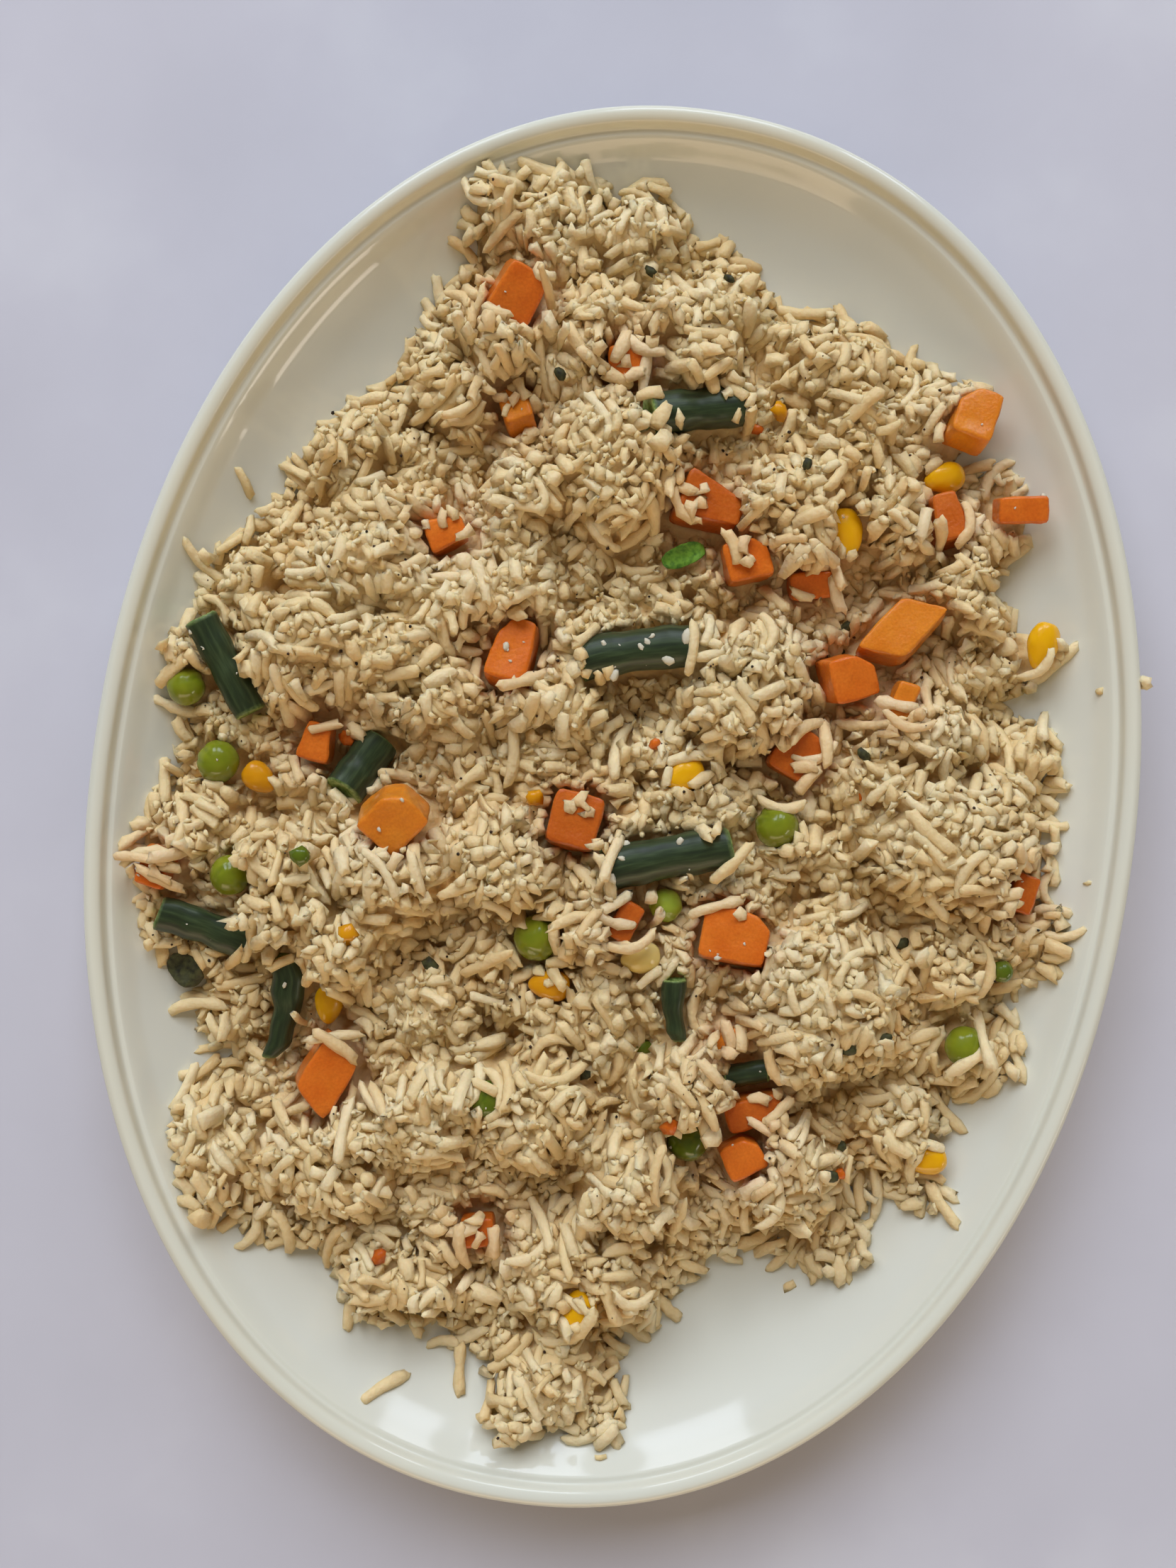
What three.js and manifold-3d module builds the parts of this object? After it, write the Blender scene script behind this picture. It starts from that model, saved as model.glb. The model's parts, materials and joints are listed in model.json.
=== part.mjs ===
// A plate of vegetable rice: a long oval platter, one heap of rice, and every carrot piece, corn
// kernel, pea, cut bean and leaf that shows on it.
// Millimetres, +Z up. The platter's long axis lies along Y, and the origin is under its middle.

import * as THREE from "three";
import { mergeVertices } from "three/addons/utils/BufferGeometryUtils.js";
import Module from "manifold-3d";

const solids = await Module();
solids.setup();

// ---- The platter ----
const plateLength = 280;
const plateWidth = 208;
const ovalPower = 2.09; // a little squarer than a true ellipse, whose power is 2
const plateSegments = 48;
const halfWidth = plateWidth / 2;
const endReach = (plateLength - plateWidth) / 2; // how much further a ring reaches along Y than along X
const wellHalfWidth = 66;

// Upper face from the middle of the well out to the rim's edge: [half width, height].
const upperFace = [
  [0, 6],
  [wellHalfWidth, 6],
  [78, 7.6],
  [88, 12],
  [95, 17.2],
  [98.6, 21],
  [99.8, 21.4],
  [100.6, 23.3],
  [102.2, 24],
  [103.5, 23.4],
  [halfWidth, 22],
];
// Underside from the rim's edge back to the middle, round the foot ring that it stands on.
const underside = [
  [101.4, 18.6],
  [93.5, 11.2],
  [83, 5.2],
  [71, 2.6],
  [62.6, 2],
  [62, 0],
  [57, 0],
  [56.4, 2.2],
  [0, 2.2],
];

// ---- The heap of rice ----
const touchGap = 0.3; // clear space left between the rice and the platter
const bedGap = 0.4; // and between the rice and each vegetable
const edgeRise = 5.5; // how fast the rice climbs at its edge: height, and the run that it takes
const edgeRun = 2.6;
const middleRise = 10;
const middleRun = 28;
const steepest = 2.6; // rise over run of the rice's steepest side
const grainLength = 9; // one cooked grain
const grainRelief = 1.3; // a grain's back above the rice, and the valleys below it
const grainSpacing = 6.8;
const pointSpacing = 3.35;
const edgeSpacing = 3.6;
const bottomOfBlank = -10;

// Where the rice ends on the platter, clockwise from the tip at the far left.
const riceEdge = [
  [-46, 118], [-33, 124], [-22, 125], [-18, 120], [-13, 125], [-6, 124], [-2, 118], [8, 117], [18, 107],
  [30, 107], [42, 102], [52, 97], [61, 95], [65, 89], [61, 81], [71, 77], [76, 72], [75, 64], [70, 57],
  [74, 50], [83, 49], [85, 40], [74, 32], [87, 27], [88, 13], [90, 6], [90, -4], [93, -11], [91, -22],
  [83, -25], [89, -35], [87, -44], [78, -49], [76, -63], [79, -73], [70, -71], [60, -73], [66, -82],
  [58, -88], [46, -85], [37, -87], [28, -95], [26, -103], [17, -109], [20, -127], [9, -125], [-6, -128],
  [-7, -118], [-19, -111], [-37, -111], [-42, -100], [-57, -96], [-68, -94], [-78, -76], [-77, -67],
  [-67, -63], [-75, -60], [-78, -49], [-86, -44], [-92, -29], [-94, -18], [-88, -3], [-93, 18], [-89, 27],
  [-89, 36], [-76, 52], [-73, 61], [-66, 73], [-56, 82], [-51, 98], [-45, 105],
];

// The lumps that stand up from the heap: [x, y, radius, height of its top].
const clumps = [
  [-32, 112, 13, 21], [-9, 116, 9, 18], [-36, 92, 12, 23], [9, 105, 9, 18], [0, 93, 12, 25],
  [-18, 91, 11, 24], [-44, 80, 11, 21], [31, 95, 12, 20], [53, 89, 6, 15], [-62, 62, 14, 20],
  [-8, 69, 16, 31], [37, 76, 10, 25], [-26, 59, 8, 28], [26, 62, 13, 30], [47, 64, 9, 27],
  [-78, 40, 12, 20], [-54, 43, 15, 26], [-31, 42, 13, 25], [65, 56, 12, 22], [76, 42, 9, 16],
  [-66, 21, 14, 28], [-44, 22, 14, 26], [-15, 18, 12, 25], [24, 27, 14, 28], [57, 20, 14, 26],
  [80, 20, 9, 19], [-84, -17, 10, 21], [68, 2, 17, 30], [-42, -18, 12, 31], [-19, -15, 11, 28],
  [-62, -26, 12, 26], [-50, -38, 9, 27], [-2, -23, 9, 27], [72, -18, 12, 24], [46, -34, 17, 29],
  [23, -54, 10, 31], [80, -39, 9, 18], [68, -55, 9, 18], [58, -83, 8, 15], [44, -66, 12, 24],
  [-66, -82, 13, 17], [-45, -78, 14, 23], [-5, -62, 12, 27], [-26, -66, 12, 25], [16, -75, 12, 26],
  [-28, -100, 11, 17], [8, -93, 13, 21], [6, -116, 11, 17], [-74, -46, 6, 14],
];

// The dark hollows between them: [x, y, radius, depth].
const hollows = [
  [0, 21, 9, 9], [43, 60, 7, 8], [40, 51, 6, 6], [53, -51, 7, 7], [-3, -78, 7, 6], [-6, 82, 7, 7],
  [-36, 50, 6, 7], [38, 27, 6, 6], [-14, -48, 7, 5], [-70, -12, 6, 5], [60, -70, 6, 4], [-48, 6, 6, 5],
];

// ---- The vegetables ----
// at: place on the platter. lift: how far its middle stands above the rice there.
// turn: heading in degrees from +X. tip: leaning about its length and across it, in degrees.
// A carrot piece is diced: size is length, width and thickness, slant shifts its far side along, taper
// narrows its far end and nick cuts off a corner.
const carrots = [
  { at: [-34, 98], size: [10.5, 9.5, 9], taper: 0.15, turn: 68, tip: [18, -14], lift: 2 },
  { at: [-10, 88], size: [8, 7, 7], turn: 14, tip: [8, 0], lift: -1 },
  { at: [-31, 76], size: [8, 6, 7], turn: 118, tip: [0, 20], lift: 0, tint: "amber" },
  { at: [60, 87.5], size: [11, 8.5, 8], nick: 0.35, turn: 78, tip: [0, 14], lift: 3.5, tint: "amber" },
  { at: [10, 62], size: [13, 10.5, 9], taper: 0.5, turn: -14, tip: [-8, 6], lift: 1.5, tint: "deep" },
  { at: [-41, 49], size: [8, 7, 7], taper: 0.3, turn: 28, lift: 1 },
  { at: [19, 52], size: [9, 8, 8], nick: 0.3, turn: 20, lift: 0.5 },
  { at: [33, 50], size: [9.5, 5.5, 6], turn: 14, tip: [14, 0], lift: 1 },
  { at: [58, 67], size: [10, 7, 8], taper: 0.3, turn: 112, tip: [0, 8], lift: 2, tint: "deep" },
  { at: [72, 71], size: [10, 5.5, 6], turn: 10, tip: [10, 0], lift: 2.5 },
  { at: [-24, 27], size: [13, 9, 9], taper: 0.2, nick: 0.3, turn: 82, tip: [-6, 12], lift: 2 },
  { at: [52, 43], size: [14, 9, 9], slant: -4.5, turn: 55, tip: [-10, 4], lift: 2.5, tint: "amber" },
  { at: [42.5, 32.5], size: [9.5, 9, 9], nick: 0.35, turn: 24, tip: [8, 10], lift: 2.5 },
  { at: [53.5, 29], size: [8, 4.5, 6], turn: 76, lift: 1, tint: "amber" },
  { at: [-60.5, 4], size: [8, 7, 7], taper: 0.35, turn: 84, lift: 0.5 },
  { at: [-42, -8], size: [11, 10, 10], nick: 0.3, turn: 52, tip: [16, -10], lift: 2.5, tint: "amber" },
  { at: [35, 16], size: [10, 9, 8], nick: 0.2, turn: 66, lift: -0.5, tint: "deep" },
  { at: [-7, -4], size: [11, 10, 9], turn: 84, tip: [0, 8], lift: 0.5, tint: "deep" },
  { at: [28, -22], size: [13.5, 11, 9], taper: 0.1, nick: 0.25, turn: -4, tip: [-8, -8], lift: 3 },
  { at: [6, -22], size: [8, 5, 7], turn: 70, lift: -0.5, tint: "deep" },
  { at: [-49, -61.5], size: [13, 9, 9], slant: 3, turn: 66, tip: [12, 8], lift: 3 },
  { at: [84, -5], size: [8, 5, 7], turn: 80, lift: 1.5, tint: "deep" },
  { at: [-88, -25.5], size: [8, 6, 6], turn: 78, lift: 2 },
  { at: [37, -56], size: [11.5, 6.5, 8], taper: 0.2, turn: 24, lift: 1, tint: "deep" },
  { at: [36, -65], size: [8, 7, 7], nick: 0.3, turn: 34, lift: 0 },
  { at: [-14, -89], size: [7, 6, 6], turn: 14, lift: 0, tint: "deep" },
  { at: [30, -43], size: [6, 4, 4], turn: 40, lift: 1, tint: "amber" },
];
const carrotEdgeBevel = 0.5;

// A corn kernel is a flattened wedge: size is length, breadth and thickness.
const cornKernels = [
  { at: [38, 61], size: [10.5, 8.5, 6.5], turn: 104, tip: [30, 10], lift: 1.5 },
  { at: [57, 76], size: [8.5, 7.5, 6], turn: 20, tip: [20, 0], lift: 1 },
  { at: [81, 45], size: [10, 8, 6], turn: 82, tip: [16, 0], lift: 1.5 },
  { at: [13, 8.5], size: [9, 8, 6], turn: 26, tip: [-14, 10], lift: 2 },
  { at: [10, -29], size: [8.5, 7.5, 5.5], turn: 12, tip: [10, 20], lift: 1.5, tint: "pale" },
  { at: [-7, -37], size: [8.5, 7.5, 6], turn: 4, tip: [-20, 0], lift: 1.5, tint: "deep" },
  { at: [-50.5, -48], size: [8, 7, 5.5], turn: 96, tip: [24, 0], lift: 1 },
  { at: [-71.5, -5], size: [7.5, 7, 5.5], turn: 150, lift: 0.5, tint: "deep" },
  { at: [74, -61.5], size: [8, 7, 5.5], turn: 20, tip: [20, 0], lift: 2 },
  { at: [8, -101], size: [9, 8, 5.5], turn: 60, tip: [-20, 0], lift: 2 },
];

// A pea is nearly round: size is its diameter, and squash is its height over its breadth.
const peas = [
  { at: [-88.5, 11], size: 8, lift: 0.3, tint: "bright" },
  { at: [-80, -3], size: 9, squash: 0.85, lift: 1.5, tint: "bright" },
  { at: [-73.5, -25], size: 8.5, lift: 1, tint: "bright" },
  { at: [33, 1], size: 9.2, squash: 1.05, lift: 2.5, tint: "bright" },
  { at: [-15.5, -61], size: 8, squash: 0.8, lift: 1, tint: "dark" },
  { at: [13.5, -18], size: 7, squash: 0.9, lift: 0.5, tint: "yellow" },
  { at: [-11, -28], size: 9.8, lift: 2.5, tint: "bright" },
  { at: [25, -64], size: 8.8, lift: 1.5, tint: "dark" },
  { at: [77, -37], size: 8.6, squash: 0.85, lift: 2, tint: "bright" },
  { at: [82, -21], size: 4.6, lift: 1.5, tint: "dark" },
];
const peaDimple = 0.06; // share of its radius

// A cut bean lies along a line from one cut end to the other: width is its diameter, bow is how far its
// middle stands off that line, and narrow is what is left of its width at the far end.
const beans = [
  { from: [-87, 25], to: [-74.5, 7.5], width: 6.6, lift: 3 },
  { from: [-10.5, 27.5], to: [11, 33.5], width: 8.4, bow: 0.8, lift: 4 },
  { from: [0, -13], to: [24.5, -4.5], width: 8.4, bow: 0.6, lift: 4 },
  { from: [-54, -5.5], to: [-48.5, 6.5], width: 8.2, lift: 1 },
  { from: [-87, -34.5], to: [-68, -39.5], width: 6.8, bow: 0.8, lift: 1.5 },
  { from: [-61, -39.5], to: [-61.5, -61], width: 6.8, bow: 2.6, narrow: 0.45, lift: 2 },
  { from: [-5, 77], to: [15, 83.5], width: 8.2, lift: 1.5 },
  { from: [17.5, -32], to: [20.5, -44.5], width: 4.6, bow: -1, narrow: 0.6, lift: 1.5 },
  { from: [30.5, -50.5], to: [39, -47.5], width: 4.6, lift: 0 },
];
const beanFlat = 0.88; // a bean is less thick than it is wide
const beanSides = 8;

// A herb leaf is a thin wavy blade.
const leaves = [
  { at: [-81, -46], size: [8, 6], turn: -30, lift: 1.5, tint: "dark" },
  { at: [6.5, 51.5], size: [9, 4.5], turn: 28, lift: 2, tint: "bright" },
];
const leafThickness = 0.6;
const leafWave = 0.9;

// ---- Small helpers ----

// The same run of numbers between 0 and 1 each time.
function seededNumbers(seed) {
  let state = seed;
  return () => {
    state = (state * 1664525 + 1013904223) % 4294967296;
    return state / 4294967296;
  };
}

// Value of a curve given by [place, value] pairs, straight between them.
function along(curve, place) {
  for (let i = 1; i < curve.length; i += 1) {
    const [before, low] = curve[i - 1];
    const [after, high] = curve[i];
    if (place <= after) return low + ((high - low) * (place - before)) / (after - before);
  }
  return curve.at(-1)[1];
}

// A geometry with its shared corners merged and without faces that have no area.
function welded(geometry) {
  const bare = new THREE.BufferGeometry().setAttribute("position", geometry.getAttribute("position"));
  if (geometry.index) bare.setIndex(geometry.index);
  const merged = mergeVertices(bare, 1e-3);
  const faces = [];
  for (let i = 0; i < merged.index.count; i += 3) {
    const [a, b, c] = merged.index.array.slice(i, i + 3);
    if (a !== b && b !== c && c !== a) faces.push(a, b, c);
  }
  merged.setIndex(faces);
  return merged;
}

function solidFrom(geometry) {
  const { index, attributes } = welded(geometry);
  return new solids.Manifold(
    new solids.Mesh({
      numProp: 3,
      vertProperties: new Float32Array(attributes.position.array),
      triVerts: new Uint32Array(index.array),
    }),
  );
}

function geometryFrom(solid) {
  const { vertProperties, triVerts } = solid.getMesh();
  const geometry = new THREE.BufferGeometry();
  geometry.setAttribute("position", new THREE.BufferAttribute(vertProperties, 3));
  geometry.setIndex(new THREE.BufferAttribute(triVerts, 1));
  return geometry;
}

// Moves every corner of a geometry: change takes the corner and alters it.
function reshape(geometry, change) {
  const places = geometry.getAttribute("position");
  const corner = new THREE.Vector3();
  for (let i = 0; i < places.count; i += 1) {
    corner.fromBufferAttribute(places, i);
    change(corner);
    places.setXYZ(i, corner.x, corner.y, corner.z);
  }
  return geometry;
}

// The same shape with every face moved outwards by a distance.
function grown(geometry, distance) {
  const shape = welded(geometry);
  const places = shape.getAttribute("position");
  const corners = Array.from({ length: places.count }, (_, i) =>
    new THREE.Vector3().fromBufferAttribute(places, i),
  );
  const facings = corners.map(() => []);
  for (let i = 0; i < shape.index.count; i += 3) {
    const face = Array.from(shape.index.array.slice(i, i + 3));
    const [a, b, c] = face.map((corner) => corners[corner]);
    const normal = b.clone().sub(a).cross(c.clone().sub(a)).normalize();
    face.forEach((corner) => facings[corner].push(normal));
  }
  corners.forEach((corner, i) => {
    const outward = new THREE.Vector3();
    facings[i].forEach((normal) => outward.add(normal));
    outward.normalize();
    const least = Math.min(...facings[i].map((normal) => normal.dot(outward)));
    corner.addScaledVector(outward, distance / Math.max(least, 0.2));
    places.setXYZ(i, corner.x, corner.y, corner.z);
  });
  return shape;
}

// ---- The platter's form ----

// How far the ring of a given half width reaches along Y.
function reachAlongY(ringHalfWidth) {
  if (ringHalfWidth > wellHalfWidth) return ringHalfWidth + endReach;
  return (ringHalfWidth * (wellHalfWidth + endReach)) / wellHalfWidth;
}

// Turns a round lathe form, axis up, into the platter's oval.
function ovalLathe(profile) {
  const points = profile.map(([x, y]) => new THREE.Vector2(x, y));
  const round = new THREE.LatheGeometry(points, plateSegments).rotateX(Math.PI / 2);
  const bulge = (share) => Math.sign(share) * Math.abs(share) ** (2 / ovalPower);
  return reshape(round, (corner) => {
    const ring = Math.hypot(corner.x, corner.y);
    const angle = Math.atan2(corner.y, corner.x);
    corner.x = ring * bulge(Math.cos(angle));
    corner.y = reachAlongY(ring) * bulge(Math.sin(angle));
  });
}

// Half width of the oval ring that passes through a point.
function ringThrough(x, y) {
  let low = 0;
  let high = halfWidth * 1.5;
  for (let i = 0; i < 40; i += 1) {
    const ring = (low + high) / 2;
    const share = (Math.abs(x) / ring) ** ovalPower + (Math.abs(y) / reachAlongY(ring)) ** ovalPower;
    if (share > 1) low = ring;
    else high = ring;
  }
  return low;
}

const plateTop = (x, y) => along(upperFace, ringThrough(x, y));

function plateGeometry() {
  return welded(ovalLathe([...underside.toReversed(), ...upperFace.toReversed()]));
}

// The space over the platter's upper face, inside the rim, where food may lie.
function foodSpace() {
  const lastRing = 98.4;
  const ceiling = 70;
  const bed = upperFace
    .filter(([ring]) => ring < lastRing)
    .map(([ring, height]) => [ring, height + touchGap * (1 + height / 40)]);
  const sideHeight = along(upperFace, lastRing) + touchGap * 1.4;
  return solidFrom(ovalLathe([...bed, [lastRing, sideHeight], [lastRing, ceiling], [0, ceiling]]));
}

// ---- The rice's form ----

const edgeCurve = new THREE.CatmullRomCurve3(
  riceEdge.map(([x, y]) => new THREE.Vector3(x, y, 0)),
  true,
  "centripetal",
);
const edgePoints = edgeCurve
  .getSpacedPoints(Math.round(edgeCurve.getLength() / edgeSpacing))
  .slice(1)
  .map(({ x, y }) => [x, y]);

function insideEdge(x, y) {
  let inside = false;
  edgePoints.forEach(([x1, y1], i) => {
    const [x2, y2] = edgePoints[(i + 1) % edgePoints.length];
    if (y1 > y !== y2 > y && x < x1 + ((y - y1) * (x2 - x1)) / (y2 - y1)) inside = !inside;
  });
  return inside;
}

function distanceToEdge(x, y) {
  return Math.min(...edgePoints.map(([ex, ey]) => Math.hypot(x - ex, y - ey)));
}

// Height of the rice, before its grains are raised on it.
function riceHeight(x, y) {
  const inward = distanceToEdge(x, y);
  const plate = plateTop(x, y);
  const climb = edgeRise * (1 - Math.exp(-inward / edgeRun));
  const bed = plate + climb + middleRise * (1 - Math.exp(-inward / middleRun));
  let height = bed;
  for (const [cx, cy, radius, top] of clumps) {
    const share = Math.hypot(x - cx, y - cy) / radius;
    if (share < 1) height = Math.max(height, bed + (top - bed) * (1 - share * share) ** 0.6);
  }
  for (const [cx, cy, radius, depth] of hollows) {
    const share = Math.hypot(x - cx, y - cy) / radius;
    if (share < 1) height -= depth * (1 - share * share) ** 2;
  }
  height += 0.7 * Math.sin(x / 1.9 + 2 * Math.sin(y / 5.3)) * Math.sin(y / 2.3 + 2 * Math.sin(x / 4.7));
  return Math.min(Math.max(height, plate + 2), plate + 1 + steepest * inward);
}

// Points of the rice's surface: along each grain's back, then in the valleys between the grains.
function ricePoints() {
  const random = seededNumbers(11);
  const tries = 30000;
  const edge = edgePoints.map(([x, y]) => [x, y, plateTop(x, y) - 1]);
  const points = [...edge];
  const clear = (x, y, spacing) => points.every(([px, py]) => Math.hypot(x - px, y - py) > spacing);
  const somewhere = () => [(random() * 2 - 1) * halfWidth, ((random() * 2 - 1) * plateLength) / 2];
  const middles = [];
  for (let i = 0; i < tries / 3; i += 1) {
    const [x, y] = somewhere();
    const heading = random() * Math.PI;
    const reach = grainLength * (0.3 + 0.14 * random());
    const crowded = middles.some(([mx, my]) => Math.hypot(x - mx, y - my) < grainSpacing);
    if (crowded || !insideEdge(x, y)) continue;
    const back = [-1, 0, 1].map((share) => [
      x + share * reach * Math.cos(heading),
      y + share * reach * Math.sin(heading),
      share,
    ]);
    if (!back.every(([bx, by]) => insideEdge(bx, by) && clear(bx, by, 2))) continue;
    middles.push([x, y]);
    for (const [bx, by, share] of back) {
      points.push([bx, by, riceHeight(bx, by) + grainRelief * (1 - 0.35 * share * share)]);
    }
  }
  for (let i = 0; i < tries; i += 1) {
    const [x, y] = somewhere();
    if (insideEdge(x, y) && clear(x, y, pointSpacing)) {
      points.push([x, y, riceHeight(x, y) - grainRelief * (0.5 + random())]);
    }
  }
  return points;
}

// Joins points on a plane into triangles, none of whose circles holds another point.
function triangulate(points) {
  const far = 4000;
  const corners = [...points, [-far, -far], [far, -far], [0, far]];
  const circled = (a, b, c) => {
    const [ax, ay] = corners[a];
    const bx = corners[b][0] - ax;
    const by = corners[b][1] - ay;
    const cx = corners[c][0] - ax;
    const cy = corners[c][1] - ay;
    const twiceArea = 2 * (bx * cy - by * cx);
    const x = (cy * (bx * bx + by * by) - by * (cx * cx + cy * cy)) / twiceArea;
    const y = (bx * (cx * cx + cy * cy) - cx * (bx * bx + by * by)) / twiceArea;
    return { corners: [a, b, c], x: ax + x, y: ay + y, reach: x * x + y * y };
  };
  let triangles = [circled(points.length, points.length + 1, points.length + 2)];
  points.forEach(([x, y], added) => {
    const rim = new Map();
    triangles = triangles.filter((triangle) => {
      if ((x - triangle.x) ** 2 + (y - triangle.y) ** 2 > triangle.reach) return true;
      const [a, b, c] = triangle.corners;
      for (const [from, to] of [[a, b], [b, c], [c, a]]) {
        if (!rim.delete(`${to} ${from}`)) rim.set(`${from} ${to}`, [from, to]);
      }
      return false;
    });
    for (const [from, to] of rim.values()) triangles.push(circled(from, to, added));
  });
  return triangles.map((triangle) => triangle.corners).filter((c) => Math.max(...c) < points.length);
}

// The rice's blank: its surface on top, straight sides, and a flat bottom below the platter's face.
function riceBlank() {
  const points = ricePoints();
  const middleOf = (triangle, axis) => triangle.reduce((sum, corner) => sum + points[corner][axis], 0) / 3;
  const top = triangulate(points).filter((t) => insideEdge(middleOf(t, 0), middleOf(t, 1)));
  const open = new Map();
  for (const [a, b, c] of top) {
    for (const [from, to] of [[a, b], [b, c], [c, a]]) {
      if (!open.delete(`${to} ${from}`)) open.set(`${from} ${to}`, [from, to]);
    }
  }
  const below = points.length;
  const faces = top.flatMap(([a, b, c]) => [a, b, c, c + below, b + below, a + below]);
  for (const [from, to] of open.values()) {
    faces.push(from, from + below, to + below, from, to + below, to);
  }
  const flat = [...points.flat(), ...points.flatMap(([x, y]) => [x, y, bottomOfBlank])];
  const geometry = new THREE.BufferGeometry();
  geometry.setAttribute("position", new THREE.Float32BufferAttribute(flat, 3));
  geometry.setIndex(faces);
  return solidFrom(geometry);
}

// ---- The vegetables' forms ----

// A diced piece: a flat outline with four or five corners, pulled up to its thickness.
function diced({ size, slant = 0, taper = 0, nick = 0 }, bevelEnabled) {
  const [length, width, thickness] = size.map((side) => side - 2 * carrotEdgeBevel);
  const far = 1 - taper;
  const outline = [
    [-length / 2, -width / 2],
    [length / 2, (-width / 2) * far],
    [length / 2 + slant, (width / 2) * far * (1 - 2 * nick)],
    [length / 2 + slant - length * nick, (width / 2) * far],
    [-length / 2 + slant, width / 2],
  ].filter((_, i) => i !== 3 || nick > 0);
  const shape = new THREE.Shape(outline.map(([x, y]) => new THREE.Vector2(x - slant / 2, y)));
  return new THREE.ExtrudeGeometry(shape, {
    depth: thickness,
    bevelEnabled,
    bevelThickness: carrotEdgeBevel,
    bevelSize: carrotEdgeBevel,
    bevelSegments: 1,
  }).translate(0, 0, -thickness / 2);
}

const carrotGeometry = (carrot) => diced(carrot, true);
const carrotBed = (carrot) => grown(diced(carrot, false), carrotEdgeBevel + bedGap);

// A kernel: broad and dented at its crown, drawn in towards its tip.
function cornGeometry({ size }) {
  const [length, breadth, thickness] = size;
  return reshape(new THREE.SphereGeometry(0.5, 8, 6), (corner) => {
    const toTip = 0.5 - corner.y;
    const broad = 1 - 0.45 * toTip ** 2;
    const dent = corner.y > 0.45 ? -0.06 : 0;
    corner.set((corner.y + dent) * length, -corner.x * breadth * broad, corner.z * thickness * broad);
  });
}

// The bed that a kernel or a pea lies in: twenty flat faces that clear its round form all round.
function roundBed(length, breadth, thickness) {
  const insideShare = 0.7947; // radius of the largest ball in an icosahedron of radius 1
  const scale = (side) => (side / 2 + bedGap) / insideShare;
  return new THREE.IcosahedronGeometry(1, 0).scale(scale(length), scale(breadth), scale(thickness));
}

const cornBed = ({ size }) => roundBed(...size);
const peaBed = ({ size, squash = 1 }) => roundBed(size, size, size * squash);

// A pea: round, with a few shallow wrinkles.
function peaGeometry({ size, squash = 1 }) {
  return reshape(new THREE.IcosahedronGeometry(size / 2, 1), (corner) => {
    const wrinkle = Math.sin(corner.x * 1.7 + size) * Math.sin(corner.y * 1.5) + Math.cos(corner.z * 1.3);
    corner.multiplyScalar(1 + peaDimple * (wrinkle / 2 - 0.5));
    corner.z *= squash;
  });
}

// A cut bean along X: a pod that bows sideways, with rounded cut ends.
function beanGeometry({ from, to, width, bow = 0, narrow = 1 }) {
  const length = Math.hypot(to[0] - from[0], to[1] - from[1]);
  const radius = width / 2;
  const steps = 5;
  const edge = 0.35;
  const barrel = Array.from({ length: steps }, (_, i) => {
    const share = i / (steps - 1);
    const swell = 1 + 0.05 * Math.sin(share * Math.PI * 3);
    return [radius * (1 + (narrow - 1) * share ** 2) * swell, edge + share * (length - 2 * edge)];
  });
  const profile = [
    [0, 0],
    [radius - edge, 0],
    ...barrel,
    [(radius - edge) * narrow, length],
    [0, length],
  ].map(([x, y]) => new THREE.Vector2(x, y - length / 2));
  return reshape(new THREE.LatheGeometry(profile, beanSides), (corner) => {
    const place = (2 * corner.y) / length;
    corner.set(corner.y, -corner.x + bow * (1 - place * place), corner.z * beanFlat);
  });
}

// The bed that a bean lies in: a six-sided trough, bent once in the middle as the bean bows.
function beanBed({ from, to, width, bow = 0 }) {
  const sides = 6;
  const length = Math.hypot(to[0] - from[0], to[1] - from[1]) + 2 * bedGap;
  const radius = (width * 0.525 + bedGap + Math.abs(bow) / 4) / Math.cos(Math.PI / sides);
  const profile = [[0, -1], [radius, -1], [radius, 0], [radius, 1], [0, 1]].map(
    ([x, end]) => new THREE.Vector2(x, (end * length) / 2),
  );
  return reshape(new THREE.LatheGeometry(profile, sides), (corner) => {
    const place = (2 * corner.y) / length;
    corner.set(corner.y, -corner.x + bow * (1 - Math.abs(place)), corner.z);
  });
}

// A leaf: an oval blade of two like faces, waving along and across.
function leafGeometry({ size }) {
  const [length, breadth] = size;
  const columns = 7;
  const rows = 3;
  const blade = new THREE.BoxGeometry(length, breadth, leafThickness, columns, rows, 1);
  return reshape(blade, (corner) => {
    const place = (2 * corner.x) / length;
    corner.y *= 0.25 + 0.75 * Math.sqrt(1 - 0.96 * place * place);
    corner.z += leafWave * (Math.sin(3.3 * place) + (corner.y / breadth) ** 2 * 3);
  });
}

const leafBed = ({ size: [length, breadth] }) =>
  new THREE.BoxGeometry(length + 2 * bedGap, breadth + 2 * bedGap, leafThickness + 4 * leafWave + bedGap);

// ---- Putting it together ----

const colours = {
  plate: 0xe2e1d4,
  rice: 0xcdb995,
  carrot: 0xde6420,
  amber: 0xe58a1c,
  deep: 0xcb5426,
  corn: 0xeab80e,
  pale: 0xe6d488,
  deepCorn: 0xe2a010,
  bright: 0x5f9a22,
  dark: 0x3c6a1e,
  yellow: 0xa3b23c,
  bean: 0x2f4a3a,
  leaf: 0x2c4420,
  leafBright: 0x56812a,
};

const platter = new THREE.Group();

function addPiece(name, geometry, colour, roughness) {
  const material = new THREE.MeshStandardMaterial({ color: colour, roughness, metalness: 0 });
  const mesh = new THREE.Mesh(welded(geometry), material);
  mesh.name = name;
  platter.add(mesh);
  return mesh;
}

const numbered = (kind, i) => `${kind}_${String(i + 1).padStart(2, "0")}`;
const radians = THREE.MathUtils.degToRad;

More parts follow.
